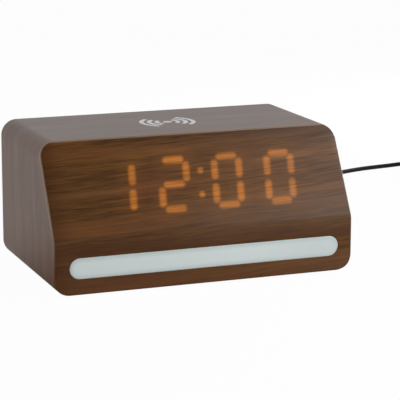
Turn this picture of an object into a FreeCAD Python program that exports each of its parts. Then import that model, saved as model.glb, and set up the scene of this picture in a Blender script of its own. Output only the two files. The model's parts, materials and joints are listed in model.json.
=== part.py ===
import FreeCAD, Part
import math
import os

Vector = FreeCAD.Vector

# Case: a band of wood fibre board whose front is bent back. All sizes are in millimetres,
# with X to the right seen from the front, Y to the back and Z up from the table
case_width = 176.0
overall_depth = 104.0
case_height = 80.0
corner_radius = 9.1
wall = 5.0
crease_height = 30.7
front_set_back = 27.6
crease_radius = 7.7
front_edge_radius = 1.3
rear_edge = 0.6
front_thickness = 5.0
film_thickness = 0.3
film_inset = 1.6
film_corner_radius = 6.8

# Fits: parts that are pushed together, and parts that drop in or run free
tight_gap = 0.1
loose_gap = 0.25
running_gap = 0.3

# Feet, glued under the case
foot_height = 1.2
foot_radius = 6.0
foot_edge = 0.3
foot_from_side = 16.0
foot_from_front = 14.0
foot_from_rear = 14.0

# Light bar along the foot of the front
lamp_from_side = 8.6
lamp_height = 11.9
lamp_centre_height = 14.8
lamp_gap = 0.15
lamp_proud = 0.4
lamp_edge_radius = 0.9
lamp_flange = 2.0
lamp_flange_thickness = 1.5
reflector_depth = 8.0
reflector_wall = 1.2
lamp_led_count = 12
lamp_led_size = (3.5, 1.9, 2.8)
lamp_ear_width = 8.0
lamp_ear_height = 6.0
lamp_ear_span = 120.0
lamp_lead_width = 5.0

# Display: four slanted digits of seven bars, and a colon
display_from_side = 21.8
digit_centre_x = 1.4
digit_centre_up = 27.0
bar_rise = 14.0
bar_reach = 7.3
bar_thickness = 3.9
bar_gap = 0.9
digit_slant = 6.0
colon_radius = 1.65
colon_spread = 7.0
housing_margin = 3.0
housing_height = 38.0
housing_depth = 9.0
housing_ear = 7.0
housing_ear_thickness = 1.5
bar_cap_thickness = 1.5
display_led_size = (1.6, 0.8, 0.6)
ribbon_width = 12.0
ribbon_thickness = 0.8
ribbon_bend_radius = 12.0

# Charging place under the top
charge_centre_y = 12.0
pocket_radius = 27.0
pocket_depth = 2.0
coil_wire = 1.5
coil_wire_sides = 6
coil_pitch = 2.1
coil_inner_radius = 9.5
coil_turns = 6
ferrite_thickness = 1.2
tray_base = 1.4
tray_rim = 1.2
tray_flange = 3.5
tray_flange_thickness = 1.4
tray_ear_radius = 4.0
tray_post_length = 8.0
tray_post_radius = 2.6
charger_length = 56.0
charger_width = 34.0
post_inset = 4.0

# Circuit boards
board_thickness = 1.6
main_from_side = 23.0
main_height = 52.0
main_board_set_in = 9.5
main_chips = [(-24.0, 4.0, 9.0, 1.6), (14.0, -8.0, 5.0, 1.4), (40.0, -12.0, 6.0, 3.0)]
main_can_places = (26.0, 50.0)
main_can_rise = 10.0
can_radius = 3.0
can_length = 5.4
connector_depth = 5.0
connector_margin = 1.0
connector_height = 4.0
charger_chips = [(-14.0, 4.0, 5.0, 1.0), (2.0, -6.0, 7.0, 3.0), (14.0, 6.0, 4.0, 1.0)]
charger_can_places = (-12.0, 12.0)
charger_can_back = -8.0
charger_lead_rise = 12.0
charger_lead_x = 4.0
ribbon_end_rise = 1.0
lamp_lead_end_rise = 6.0
lamp_lead_sag = 4.0
boss_radius = 3.2
boss_inset = 5.0

# Rear cover, set into the back of the band
cover_recess = 2.0
cover_thickness = 2.5
cover_edge = 0.5
block_size = 12.0
block_length = 15.0
slot_count = 7
slot_pitch = 4.0
slot_length = 22.0
slot_width = 1.8
slot_centre_x = 30.0
slot_top_below_top = 15.2

# Screws: shank radius, head radius and head height of each kind
cover_screw = (1.5, 2.9, 1.4)
small_screw = (1.0, 1.9, 1.2)
screw_shank_sides = 8
screw_head_sides = 16
cover_screw_length = 12.0
small_screw_length = 4.2
boss_screw_length = 6.5

# Push buttons in the cover, with the switches that they press
button_radius = 4.0
button_proud = 1.4
button_flange = 1.5
button_flange_thickness = 1.0
button_edge = 0.6
button_stem_radius = 1.9
button_travel = 0.5
button_below_boss = 9.0
button_names = ("set", "up", "down", "lamp")
button_from_board_end = 9.0
button_pitch = 16.0
switch_width = 6.0
switch_depth = 3.5
plunger_radius = 1.7
plunger_in_switch = 1.0
plunger_length = 2.8

# Buzzer behind its holes in the cover
buzzer_radius = 6.0
buzzer_depth = 6.5
buzzer_from_board_end = 18.0
buzzer_below_middle = 14.0
sound_hole_radius = 1.0
sound_ring_radius = 4.0
sound_ring_count = 6

# Coin cell with its holder, and the door that a coin turns
cell_radius = 10.0
cell_thickness = 3.2
cell_x = -8.0
cell_below_middle = 13.0
holder_wall = 2.4
finger_notch = 8.0
cell_step = 1.4
cell_step_height = 0.4
contact_thickness = 0.2
contact_width = 4.0
door_radius = 12.0
door_tab = 2.6
door_tab_width = 5.0
door_tab_thickness = 1.0
door_tab_count = 3
door_turn = 45.0
coin_slot_length = 15.0
coin_slot_width = 1.9
coin_slot_depth = 1.3

# Power socket in the cover and the plug in it
socket_x = 44.0
socket_below_middle = 19.0
socket_block = 9.0
socket_nose_radius = 3.4
socket_pin_radius = 0.6
socket_pin_length = 8.0
plug_radius = 1.75
plug_bore_radius = 0.75
plug_length = 9.0
grip_radius = 4.2
grip_tail_radius = 3.6
grip_length = 18.0
relief_length = 11.0
relief_start_radius = 2.9
relief_rings = 3
grip_edge = 0.6
grip_taper = 4.0
relief_step = 0.8

# Power cord: it drops from the plug to the table, runs out behind the case, and the spare
# length is wound into a tied round coil beside it
cord_diameter = 3.0
cord_sides = 6
cord_lead = 10.0
cord_route = [
    (44.6, 101.5, 18.6), (46.5, 112.0, 10.6), (50.5, 122.0, 4.2), (57.5, 132.5, 1.7),
    (67.0, 143.5, 1.7), (80.0, 153.0, 1.7), (97.0, 161.8, 1.7), (117.5, 170.5, 1.7),
    (139.0, 178.2, 1.7), (161.0, 185.4, 1.7), (183.0, 193.2, 1.7), (204.5, 202.9, 1.7),
    (221.5, 209.6, 1.7), (237.0, 212.1, 1.7), (252.5, 212.6, 1.9),
]
wound_centre = (280.0, 192.0)
wound_mean_radius = 16.0
wound_pitch = 4.1
wound_layers = 4
half_turns_per_layer = 4
tail_route = [(256.6, 168.2, 10.2), (249.9, 160.0, 5.4)]
tail_end_x = 248.6
tie_thickness = 0.5
tie_width = 5.0
tie_gap = 0.3
tie_corner_radius = 1.1

# Charging plug at the far end of the cord, lying on the table
usb_grip_width = 15.5
usb_grip_height = 8.0
usb_grip_length = 22.0
usb_corner_radius = 2.4
usb_grip_edge = 1.2
usb_relief_length = 7.0
usb_relief_radius = 2.6
usb_shell_width = 12.0
usb_shell_height = 4.5
usb_shell_length = 12.0
usb_shell_wall = 0.35
usb_window = 2.3
usb_window_from_front = 5.0
usb_tongue_height = 1.8
usb_plug_end_y = 138.0

# Places that follow from the sizes above
underside = foot_height
top = underside + case_height
half_width = case_width / 2.0
front_y = -overall_depth / 2.0 + lamp_proud
rear_y = overall_depth / 2.0
crease_z = underside + crease_height
lean = math.atan2(front_set_back, case_height - crease_height)
inner_radius = corner_radius - wall
inner_half = half_width - wall
floor_z = underside + wall
ceiling_z = top - wall
behind_board = film_thickness + front_thickness
lamp_z = underside + lamp_centre_height
lamp_back_y = front_y + behind_board
reflector_front_y = lamp_back_y + lamp_flange_thickness
reflector_back_y = reflector_front_y + reflector_depth
cover_outer_y = rear_y - cover_recess
cover_inner_y = cover_outer_y - cover_thickness
main_back_y = cover_inner_y - main_board_set_in
main_front_y = main_back_y - board_thickness
main_centre_z = (floor_z + ceiling_z) / 2.0
lamp_length = case_width - 2.0 * lamp_from_side
housing_half = half_width - display_from_side
digit_pitch = (housing_half - housing_margin) / 2.0
main_length = case_width - 2.0 * main_from_side
buzzer_x = buzzer_from_board_end - main_length / 2.0
coil_top_z = ceiling_z + pocket_depth - tight_gap
coil_base_z = coil_top_z - coil_wire
tray_floor_z = coil_base_z - ferrite_thickness
tray_under_z = tray_floor_z - tray_base
charger_z = tray_under_z - tray_post_length
button_z = main_centre_z + main_height / 2.0 - boss_inset - button_below_boss
button_inner_y = cover_inner_y - running_gap
first_button_x = button_from_board_end - main_length / 2.0
button_places = {name: first_button_x + button_pitch * index for index, name in enumerate(button_names)}
plunger_top_y = main_back_y + switch_depth - plunger_in_switch + plunger_length
socket_z = main_centre_z - socket_below_middle
cell_z = main_centre_z - cell_below_middle
buzzer_z = main_centre_z - buzzer_below_middle
slot_top_z = top - slot_top_below_top
cell_top_y = cover_inner_y - running_gap - door_tab_thickness - running_gap - tight_gap
cell_base_y = cell_top_y - cell_thickness
cord_radius = cord_diameter / 2.0
relief_end_y = cover_outer_y + running_gap + grip_length + relief_length
wound_base_z = tie_thickness + tie_gap + cord_radius
far = 400.0


def block(x0, x1, y0, y1, z0, z1):
    """Plain box between two corners."""
    return Part.makeBox(x1 - x0, y1 - y0, z1 - z0, Vector(x0, y0, z0))


def rod(radius, x, z, y0, y1):
    """Cylinder that runs front to back at x and z."""
    return Part.makeCylinder(radius, y1 - y0, Vector(x, y0, z), Vector(0, 1, 0))


def post(radius, x, y, z0, z1):
    """Upright cylinder at x and y."""
    return Part.makeCylinder(radius, z1 - z0, Vector(x, y, z0))


def rounded_bar(x0, x1, z0, z1, radius, y0, y1):
    """Rounded rectangle, drawn upright and drawn out from y0 to y1."""
    corners = [
        (x1 - radius, z0 + radius, -90.0), (x1 - radius, z1 - radius, 0.0),
        (x0 + radius, z1 - radius, 90.0), (x0 + radius, z0 + radius, 180.0),
    ]
    arcs = []
    for x, z, start in corners:
        turns = [math.radians(start + step) for step in (0.0, 45.0, 90.0)]
        arcs.append([Vector(x + radius * math.cos(a), y0, z + radius * math.sin(a)) for a in turns])
    edges = []
    for arc, following in zip(arcs, arcs[1:] + arcs[:1]):
        edges.append(Part.Arc(*arc).toShape())
        if arc[2].distanceToPoint(following[0]) > 0.001:
            edges.append(Part.LineSegment(arc[2], following[0]).toShape())
    return Part.Face(Part.Wire(edges)).extrude(Vector(0, y1 - y0, 0))


def stadium(length, height, centre_z, y0, y1):
    """Bar with fully round ends, centred on the case."""
    low = centre_z - height / 2.0
    return rounded_bar(-length / 2.0, length / 2.0, low, low + height, height / 2.0, y0, y1)


def polygon_prism(points, direction):
    """Closed polygon through the points, drawn out along a direction."""
    return Part.Face(Part.makePolygon(points + points[:1])).extrude(direction)


def edges_where(shape, test):
    """Edges of a shape that pass a test at five places along each."""
    return [edge for edge in shape.Edges if all(test(point) for point in edge.discretize(5))]


def ring_of_places(radius, count, start=90.0):
    """Places evenly round a circle, as sideways and upward offsets."""
    steps = [math.radians(start + 360.0 * index / count) for index in range(count)]
    return [(radius * math.cos(step), radius * math.sin(step)) for step in steps]


def front_line(depth):
    """Foot, arc start, arc middle, arc end and head of the bent front, at a depth under its skin."""
    radius = crease_radius - depth
    arc_y = front_y + crease_radius
    arc_z = crease_z - crease_radius * math.tan(lean / 2.0)
    points = [Vector(0, front_y + depth, -far)]
    for part in (0.0, 0.5, 1.0):
        angle = lean * part
        points.append(Vector(0, arc_y - radius * math.cos(angle), arc_z + radius * math.sin(angle)))
    up = Vector(0, math.sin(lean), math.cos(lean))
    points.append(points[-1] + up * far)
    return points


def behind_front(depth):
    """Everything behind the bent front, from a depth under its skin."""
    foot, start, middle, end, head = front_line(depth)
    corners = [head, Vector(0, far, head.z), Vector(0, far, foot.z), foot]
    edges = [Part.LineSegment(foot, start).toShape(), Part.Arc(start, middle, end).toShape()]
    edges.append(Part.LineSegment(end, head).toShape())
    edges += [Part.LineSegment(a, b).toShape() for a, b in zip(corners, corners[1:])]
    face = Part.Face(Part.Wire(edges))
    face.translate(Vector(-far, 0, 0))
    return face.extrude(Vector(2.0 * far, 0, 0))


def depth_under_front(point):
    """How deep a point lies under the skin of the bent front."""
    arc_y = front_y + crease_radius
    arc_z = crease_z - crease_radius * math.tan(lean / 2.0)
    angle = math.atan2(point.z - arc_z, arc_y - point.y)
    if angle <= 0.0:
        return point.y - front_y
    if angle < lean:
        return crease_radius - math.hypot(point.y - arc_y, point.z - arc_z)
    return (point.y - front_y) * math.cos(lean) - (point.z - crease_z) * math.sin(lean)


def on_outline(point):
    """Whether a point lies on the rounded outline of the case, seen from the front."""
    across = max(abs(point.x) - half_width + corner_radius, 0.0)
    centre_z = underside + case_height / 2.0
    up = max(abs(point.z - centre_z) - case_height / 2.0 + corner_radius, 0.0)
    return abs(math.hypot(across, up) - corner_radius) < 0.01


def onto_slope(shape):
    """Lay a flat shape on the upper front: X across, Y up the slope, Z out of it from the skin."""
    turn = FreeCAD.Rotation(Vector(1, 0, 0), 90.0 - math.degrees(lean))
    shape.Placement = FreeCAD.Placement(Vector(0, front_y, crease_z), turn)
    return shape


def slope_point(up, depth):
    """Height up the slope and depth under its skin as a place in the case, at x = 0."""
    y = front_y + up * math.sin(lean) + depth * math.cos(lean)
    z = crease_z + up * math.cos(lean) - depth * math.sin(lean)
    return Vector(0, y, z)


def case_inside(gap=0.0):
    """The hollow of the band, drawn right through it."""
    x = inner_half - gap
    return rounded_bar(-x, x, floor_z + gap, ceiling_z - gap, inner_radius - gap, -far, far)


def make_case_band():
    """Bent-front band with rounded edges, its hollow, and the thinned place over the charging coil."""
    solid = rounded_bar(-half_width, half_width, underside, top, corner_radius, -rear_y, rear_y)
    solid = solid.common(behind_front(film_thickness))
    rim = edges_where(solid, lambda p: abs(depth_under_front(p) - film_thickness) < 0.01 and on_outline(p))
    solid = solid.makeFillet(front_edge_radius, rim)
    rim = edges_where(solid, lambda p: abs(p.y - rear_y) < 0.001)
    solid = solid.makeChamfer(rear_edge, rim)
    solid = solid.cut(case_inside())
    pocket = post(pocket_radius, 0, charge_centre_y, ceiling_z - wall, ceiling_z + pocket_depth)
    radius = small_screw[0] + tight_gap
    pilot_top = ceiling_z + wall * 0.6 + tight_gap
    pilots = [post(radius, x, y, ceiling_z - wall, pilot_top) for x, y in tray_ear_places()]
    return solid.cut([pocket] + pilots)


def make_front_board():
    """Bent board glued into the band, with a window for the digits and a slot for the light bar."""
    solid = behind_front(film_thickness).cut(behind_front(behind_board)).common(case_inside())
    x = housing_half + loose_gap
    half_up = housing_height / 2.0 + loose_gap
    window = block(digit_centre_x - x, digit_centre_x + x, digit_centre_up - half_up,
                   digit_centre_up + half_up, -2.0 * behind_board, 0)
    radius = small_screw[0] + tight_gap
    pilots = [post(radius, x, up, -2.0 * behind_board, housing_ear_seat() + housing_screw_bite())
              for x, up in housing_screw_places()]
    solid = solid.cut(onto_slope(Part.makeCompound([window] + pilots)))
    pilot_y = lamp_back_y - front_thickness * 0.6 - tight_gap
    solid = solid.cut([rod(radius, x, z, pilot_y, 0) for x, z in lamp_ear_places()])
    slot = stadium(lamp_length + 2 * lamp_gap, lamp_height + 2 * lamp_gap, lamp_z, -rear_y, 0)
    return solid.cut(slot)


def make_front_film():
    """Printed wood film over the whole front, cut out only for the light bar."""
    x = half_width - film_inset
    low = underside + film_inset
    outline = rounded_bar(-x, x, low, top - film_inset, film_corner_radius, -rear_y, rear_y)
    solid = behind_front(0.0).cut(behind_front(film_thickness)).common(outline)
    slot = stadium(lamp_length + 2 * lamp_gap, lamp_height + 2 * lamp_gap, lamp_z, -rear_y, 0)
    return solid.cut(slot)


def make_feet():
    """Four glued rubber pads with a softened lower edge."""
    feet = []
    for x in (-half_width + foot_from_side, half_width - foot_from_side):
        for y in (-rear_y + foot_from_front, rear_y - foot_from_rear):
            foot = post(foot_radius, x, y, 0, foot_height)
            rim = edges_where(foot, lambda p: abs(p.z) < 0.001)
            feet.append(foot.makeChamfer(foot_edge, rim))
    return Part.makeCompound(feet)


def cover_screw_places():
    """Centres of the four cover screws."""
    x = inner_half - block_size / 2.0
    low = floor_z + block_size / 2.0
    high = ceiling_z - block_size / 2.0
    return [(side * x, z) for side in (-1, 1) for z in (low, high)]


def make_corner_blocks():
    """Blocks glued in the corners of the band, which take the cover screws."""
    blocks = []
    hollow = case_inside()
    half = block_size / 2.0
    hole_radius = cover_screw[0] + tight_gap
    hole_end = cover_inner_y - cover_screw_length
    for x, z in cover_screw_places():
        wood = block(x - half, x + half, cover_inner_y - block_length, cover_inner_y, z - half, z + half)
        wood = wood.common(hollow)
        blocks.append(wood.cut(rod(hole_radius, x, z, hole_end, rear_y)))
    return Part.makeCompound(blocks)


def many_sided(radius, sides, place, run):
    """Prism with a regular outline inside a circle, drawn out from place along run."""
    across = run.cross(Vector(1, 0, 0)).normalize()
    beside = across.cross(run).normalize()
    steps = [2.0 * math.pi * index / sides for index in range(sides)]
    points = [place + (across * math.cos(step) + beside * math.sin(step)) * radius for step in steps]
    return polygon_prism(points, run)


def screw(kind, length, place, direction):
    """Screw: its head stands on place, and its shank runs along direction."""
    shank_radius, head_radius, head_height = kind
    shank = many_sided(shank_radius, screw_shank_sides, place, direction * length)
    rise = direction * head_height
    head = many_sided(head_radius, screw_head_sides, place - rise, rise)
    return head.fuse(shank)


def make_cover_screws():
    """Four screws, their heads sunk into the cover."""
    seat_y = cover_outer_y - cover_screw[2]
    length = seat_y - cover_inner_y + cover_screw_length - tight_gap
    places = [Vector(x, seat_y, z) for x, z in cover_screw_places()]
    return Part.makeCompound([screw(cover_screw, length, place, Vector(0, -1, 0)) for place in places])


def boss_places():
    """Centres of the bosses that carry the main board."""
    x = main_length / 2.0 - boss_inset
    z = main_height / 2.0 - boss_inset
    return [(side * x, main_centre_z + rise * z) for side in (-1, 1) for rise in (-1, 1)]


def door_tab_shape(angle, width, reach, y0, y1):
    """One bayonet tab of the battery door, or the notch that lets it through."""
    tab = block(0, reach, y0, y1, -width / 2.0, width / 2.0)
    tab.rotate(Vector(0, 0, 0), Vector(0, 1, 0), angle)
    tab.translate(Vector(cell_x, 0, cell_z))
    return tab


def door_notch_cutters():
    """Notches in the cover, one turn of the door away from its locked tabs."""
    reach = door_radius + door_tab + loose_gap
    width = door_tab_width + 2.0 * loose_gap
    disc = rod(reach, cell_x, cell_z, cover_inner_y - 1.0, rear_y)
    angles = [door_turn + 360.0 * index / door_tab_count for index in range(door_tab_count)]
    return [door_tab_shape(angle, width, 2.0 * reach, cover_inner_y - 1.0, rear_y).common(disc)
            for angle in angles]


def cover_holes():
    """Everything that passes through the rear cover."""
    inside = cover_inner_y - 1.0
    holes = []
    for x, z in cover_screw_places():
        holes.append(rod(cover_screw[0] + loose_gap, x, z, inside, rear_y))
        holes.append(rod(cover_screw[1] + loose_gap, x, z, cover_outer_y - cover_screw[2], rear_y))
    for x in button_places.values():
        holes.append(rod(button_radius + loose_gap, x, button_z, inside, rear_y))
    holes.append(rod(socket_nose_radius + loose_gap, socket_x, socket_z, inside, rear_y))
    holes.append(rod(door_radius + loose_gap, cell_x, cell_z, inside, rear_y))
    holes += door_notch_cutters()
    holes.append(rod(sound_hole_radius, buzzer_x, buzzer_z, inside, rear_y))
    for across, up in ring_of_places(sound_ring_radius, sound_ring_count):
        holes.append(rod(sound_hole_radius, buzzer_x + across, buzzer_z + up, inside, rear_y))
    first = slot_centre_x - slot_pitch * (slot_count - 1) / 2.0
    for index in range(slot_count):
        x = first + slot_pitch * index
        low = slot_top_z - slot_length
        holes.append(block(x - slot_width / 2.0, x + slot_width / 2.0, inside, rear_y, low, slot_top_z))
    return holes


def make_rear_cover():
    """Moulded cover with bosses for the board and openings for all that shows at the back."""
    gap = loose_gap
    x = inner_half - gap
    plate = rounded_bar(-x, x, floor_z + gap, ceiling_z - gap, inner_radius - gap,
                        cover_inner_y, cover_outer_y)
    rim = edges_where(plate, lambda p: abs(p.y - cover_outer_y) < 0.001)
    plate = plate.makeChamfer(cover_edge, rim)
    for boss_x, boss_z in boss_places():
        plate = plate.fuse(rod(boss_radius, boss_x, boss_z, main_back_y, cover_inner_y + 0.5))
    hole_end = main_front_y + boss_screw_length + tight_gap
    pilots = [rod(small_screw[0] + tight_gap, bx, bz, main_front_y, hole_end) for bx, bz in boss_places()]
    return plate.cut(cover_holes() + pilots)


def make_button(name):
    """Round button cap with the flange that keeps it in, and the stem that reaches its switch."""
    x = button_places[name]
    cap = rod(button_radius, x, button_z, button_inner_y - 0.5, cover_outer_y + button_proud)
    rim = edges_where(cap, lambda p: abs(p.y - cover_outer_y - button_proud) < 0.001)
    cap = cap.makeChamfer(button_edge, rim)
    flange_front_y = button_inner_y - button_flange_thickness
    flange = rod(button_radius + button_flange, x, button_z, flange_front_y, button_inner_y)
    stem = rod(button_stem_radius, x, button_z, plunger_top_y, button_inner_y)
    return cap.fuse([flange, stem]).removeSplitter()


def make_plunger(name):
    """Plunger of the push switch, which the button pushes in."""
    x = button_places[name]
    return rod(plunger_radius, x, button_z, plunger_top_y - plunger_length, plunger_top_y)


def make_switches():
    """Four push switches on the main board, each bored for its plunger."""
    bodies = []
    half = switch_width / 2.0
    bore_end = plunger_top_y - plunger_length - button_travel - running_gap
    for x in button_places.values():
        body = block(x - half, x + half, main_back_y, main_back_y + switch_depth,
                     button_z - half, button_z + half)
        bodies.append(body.cut(rod(plunger_radius + tight_gap, x, button_z, bore_end, rear_y)))
    return Part.makeCompound(bodies)


def make_main_board():
    """Main circuit board, screwed to the cover's bosses."""
    x = main_length / 2.0
    z = main_height / 2.0
    board = block(-x, x, main_front_y, main_back_y, main_centre_z - z, main_centre_z + z)
    radius = small_screw[0] + tight_gap
    return board.cut([rod(radius, bx, bz, main_front_y - 1.0, rear_y) for bx, bz in boss_places()])


def make_board_screws():
    """Screws that hold the main board to its bosses."""
    places = [Vector(x, main_front_y, z) for x, z in boss_places()]
    return Part.makeCompound([screw(small_screw, boss_screw_length, p, Vector(0, 1, 0)) for p in places])


def plug_end_y():
    """Front face of the connectors on the inner side of the main board."""
    return main_front_y - connector_depth


def make_main_parts():
    """Chips, coil, capacitors and lead connectors on the inner side of the main board."""
    parts = []
    for x, up, size, thickness in main_chips:
        z = main_centre_z + up
        parts.append(block(x - size / 2.0, x + size / 2.0, main_front_y - thickness, main_front_y,
                           z - size / 2.0, z + size / 2.0))
    can_z = main_centre_z + main_can_rise
    for x in main_can_places:
        parts.append(rod(can_radius, x, can_z, main_front_y - can_length, main_front_y))
    ribbon_x = digit_centre_x - digit_pitch
    for x, width, z in ((ribbon_x, ribbon_width, ribbon_end_z()), (0.0, lamp_lead_width, lamp_lead_end_z())):
        half = width / 2.0 + connector_margin
        parts.append(block(x - half, x + half, plug_end_y(), main_front_y,
                           z - connector_height / 2.0, z + connector_height / 2.0))
    return Part.makeCompound(parts)


def make_buzzer():
    """Round sounder on the main board, facing the holes in the cover."""
    body = rod(buzzer_radius, buzzer_x, buzzer_z, main_back_y, main_back_y + buzzer_depth)
    mouth_y = main_back_y + buzzer_depth - 1.5
    return body.cut(rod(sound_hole_radius, buzzer_x, buzzer_z, mouth_y, rear_y))


def make_holder():
    """Cup on the main board for the coin cell, with a finger notch and room for the contacts."""
    outer = cell_radius + holder_wall
    cup = rod(outer, cell_x, cell_z, main_back_y, cell_top_y)
    pocket_y = cell_base_y - contact_thickness
    cup = cup.cut(rod(cell_radius + running_gap, cell_x, cell_z, pocket_y, rear_y))
    half = finger_notch / 2.0
    notch = block(cell_x - half, cell_x + half, cell_base_y, rear_y, cell_z, cell_z + far)
    side = block(cell_x, cell_x + cell_radius + 1.0, pocket_y, rear_y,
                 cell_z - contact_width / 2.0, cell_z + contact_width / 2.0)
    return cup.cut([notch, side])


def make_contacts():
    """Flat contact under the cell and upright contact at its rim."""
    under = block(cell_x - cell_radius * 0.7, cell_x + cell_radius * 0.7,
                  cell_base_y - contact_thickness, cell_base_y,
                  cell_z - contact_width / 2.0, cell_z + contact_width / 2.0)
    rim_x = cell_x + cell_radius + tight_gap
    side = block(rim_x, rim_x + contact_thickness, cell_base_y, cell_top_y - 0.5,
                 cell_z - contact_width / 2.0 + 0.5, cell_z + contact_width / 2.0 - 0.5)
    return Part.makeCompound([under, side])


def make_cell():
    """Coin cell with its stepped rim."""
    step_y = cell_base_y + cell_step_height
    can = rod(cell_radius, cell_x, cell_z, step_y, cell_top_y)
    return can.fuse(rod(cell_radius - cell_step, cell_x, cell_z, cell_base_y, step_y))


def make_door():
    """Battery door: a disc flush with the cover, with a coin slot and bayonet tabs behind the cover."""
    tab_back_y = cover_inner_y - running_gap
    tab_front_y = tab_back_y - door_tab_thickness
    disc = rod(door_radius, cell_x, cell_z, tab_front_y, cover_outer_y)
    rim = edges_where(disc, lambda p: abs(p.y - cover_outer_y) < 0.001)
    disc = disc.makeChamfer(cover_edge / 2.0, rim)
    reach = rod(door_radius + door_tab, cell_x, cell_z, tab_front_y, tab_back_y)
    tabs = []
    for index in range(door_tab_count):
        angle = 360.0 * index / door_tab_count
        wide = door_tab_shape(angle, door_tab_width, 2.0 * door_radius, tab_front_y, tab_back_y)
        tabs.append(wide.common(reach))
    half = coin_slot_length / 2.0
    slot = rounded_bar(cell_x - half, cell_x + half, cell_z - coin_slot_width / 2.0,
                       cell_z + coin_slot_width / 2.0, coin_slot_width / 2.0 - 0.001,
                       cover_outer_y - coin_slot_depth, rear_y)
    return disc.fuse(tabs).removeSplitter().cut(slot)


def make_socket():
    """Power socket: a block on the main board with a round nose in the cover, bored for the plug."""
    half = socket_block / 2.0
    body = block(socket_x - half, socket_x + half, main_back_y, cover_inner_y - running_gap,
                 socket_z - half, socket_z + half)
    body = body.fuse(rod(socket_nose_radius, socket_x, socket_z, cover_inner_y - 1.0, cover_outer_y))
    bore_end = cover_outer_y + running_gap - plug_length - running_gap
    return body.cut(rod(plug_radius + tight_gap, socket_x, socket_z, bore_end, rear_y)).removeSplitter()


def make_socket_pin():
    """Centre pin of the power socket."""
    bore_end = cover_outer_y - plug_length
    return rod(socket_pin_radius, socket_x, socket_z, bore_end, bore_end + socket_pin_length)


def make_plug_barrel():
    """Hollow metal barrel of the power plug."""
    end_y = cover_outer_y + running_gap
    barrel = rod(plug_radius, socket_x, socket_z, end_y - plug_length, end_y)
    return barrel.cut(rod(plug_bore_radius, socket_x, socket_z, end_y - plug_length - 1.0, end_y - 0.5))


def turned(profile, centre_x, centre_z):
    """Body of revolution about a line from front to back, from (y, radius) points."""
    points = [Vector(centre_x + radius, y, centre_z) for y, radius in profile]
    points = [Vector(centre_x, profile[0][0], centre_z)] + points
    points.append(Vector(centre_x, profile[-1][0], centre_z))
    face = Part.Face(Part.makePolygon(points + points[:1]))
    return face.revolve(Vector(centre_x, 0, centre_z), Vector(0, 1, 0), 360.0)


def make_plug_grip():
    """Moulded grip of the power plug with a stepped, tapering strain relief."""
    start_y = cover_outer_y + running_gap
    shoulder_y = start_y + grip_length
    profile = [(start_y, grip_radius - grip_edge), (start_y + grip_edge, grip_radius),
               (shoulder_y - grip_taper, grip_radius), (shoulder_y, grip_tail_radius),
               (shoulder_y + relief_step, relief_start_radius)]
    ring_pitch = (relief_length - relief_step) / relief_rings
    for index in range(relief_rings):
        part = index / relief_rings
        radius = relief_start_radius + (cord_radius + 0.35 - relief_start_radius) * part
        y = shoulder_y + relief_step + ring_pitch * index
        profile += [(y + ring_pitch * 0.6, radius - 0.1), (y + ring_pitch * 0.65, radius - 0.5),
                    (y + ring_pitch * 0.95, radius - 0.5)]
    profile = [(y, max(radius, cord_radius + 0.15)) for y, radius in profile]
    return turned(profile, socket_x, socket_z)


def make_lamp_diffuser():
    """Milky light bar: round-ended, rounded at the front, with a flange behind the board."""
    bar = stadium(lamp_length, lamp_height, lamp_z, front_y - lamp_proud, reflector_front_y)
    rim = edges_where(bar, lambda p: abs(p.y - front_y + lamp_proud) < 0.001)
    bar = bar.makeFillet(lamp_edge_radius, rim)
    flange = stadium(lamp_length + 2 * lamp_flange, lamp_height + 2 * lamp_flange, lamp_z,
                     lamp_back_y, reflector_front_y)
    return bar.fuse(flange).removeSplitter()


def lamp_ear_places():
    """Centres of the screws that hold the light bar's reflector."""
    z = lamp_z + lamp_height / 2.0 + lamp_flange + lamp_ear_height / 2.0
    return [(x, z) for x in (-lamp_ear_span / 2.0, 0.0, lamp_ear_span / 2.0)]


def lamp_led_places():
    """Centres of the lamps along the light bar."""
    span = lamp_length - lamp_height
    return [span * (index / (lamp_led_count - 1.0) - 0.5) for index in range(lamp_led_count)]


def make_reflector():
    """White trough behind the light bar, with a window for each lamp and three screw ears."""
    length = lamp_length + 2 * lamp_flange
    height = lamp_height + 2 * lamp_flange
    trough = stadium(length, height, lamp_z, reflector_front_y, reflector_back_y)
    trough = trough.cut(stadium(length - 2 * reflector_wall, height - 2 * reflector_wall, lamp_z,
                                reflector_front_y - 1.0, reflector_back_y - reflector_wall))
    half_width_led = lamp_led_size[0] / 2.0 + running_gap
    half_height_led = lamp_led_size[2] / 2.0 + running_gap
    windows = [block(x - half_width_led, x + half_width_led, reflector_front_y, rear_y,
                     lamp_z - half_height_led, lamp_z + half_height_led) for x in lamp_led_places()]
    trough = trough.cut(windows)
    ear_front_y = lamp_back_y
    ears = []
    for x, z in lamp_ear_places():
        low = z - lamp_ear_height / 2.0
        ear = block(x - lamp_ear_width / 2.0, x + lamp_ear_width / 2.0, ear_front_y,
                    ear_front_y + 2.0 * lamp_flange_thickness, low + loose_gap, low + lamp_ear_height)
        web = block(x - lamp_ear_width / 2.0, x + lamp_ear_width / 2.0, reflector_front_y,
                    ear_front_y + 2.0 * lamp_flange_thickness, low - 0.5, low + 1.0)
        ears.append(ear.fuse(web))
    trough = trough.fuse(ears)
    radius = small_screw[0] + tight_gap
    return trough.cut([rod(radius, x, z, -rear_y, rear_y) for x, z in lamp_ear_places()]).removeSplitter()


def make_lamp_screws():
    """Screws that hold the reflector to the front board."""
    seat_y = lamp_back_y + 2.0 * lamp_flange_thickness
    length = 2.0 * lamp_flange_thickness + front_thickness * 0.6
    places = [Vector(x, seat_y, z) for x, z in lamp_ear_places()]
    return Part.makeCompound([screw(small_screw, length, place, Vector(0, -1, 0)) for place in places])


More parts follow.
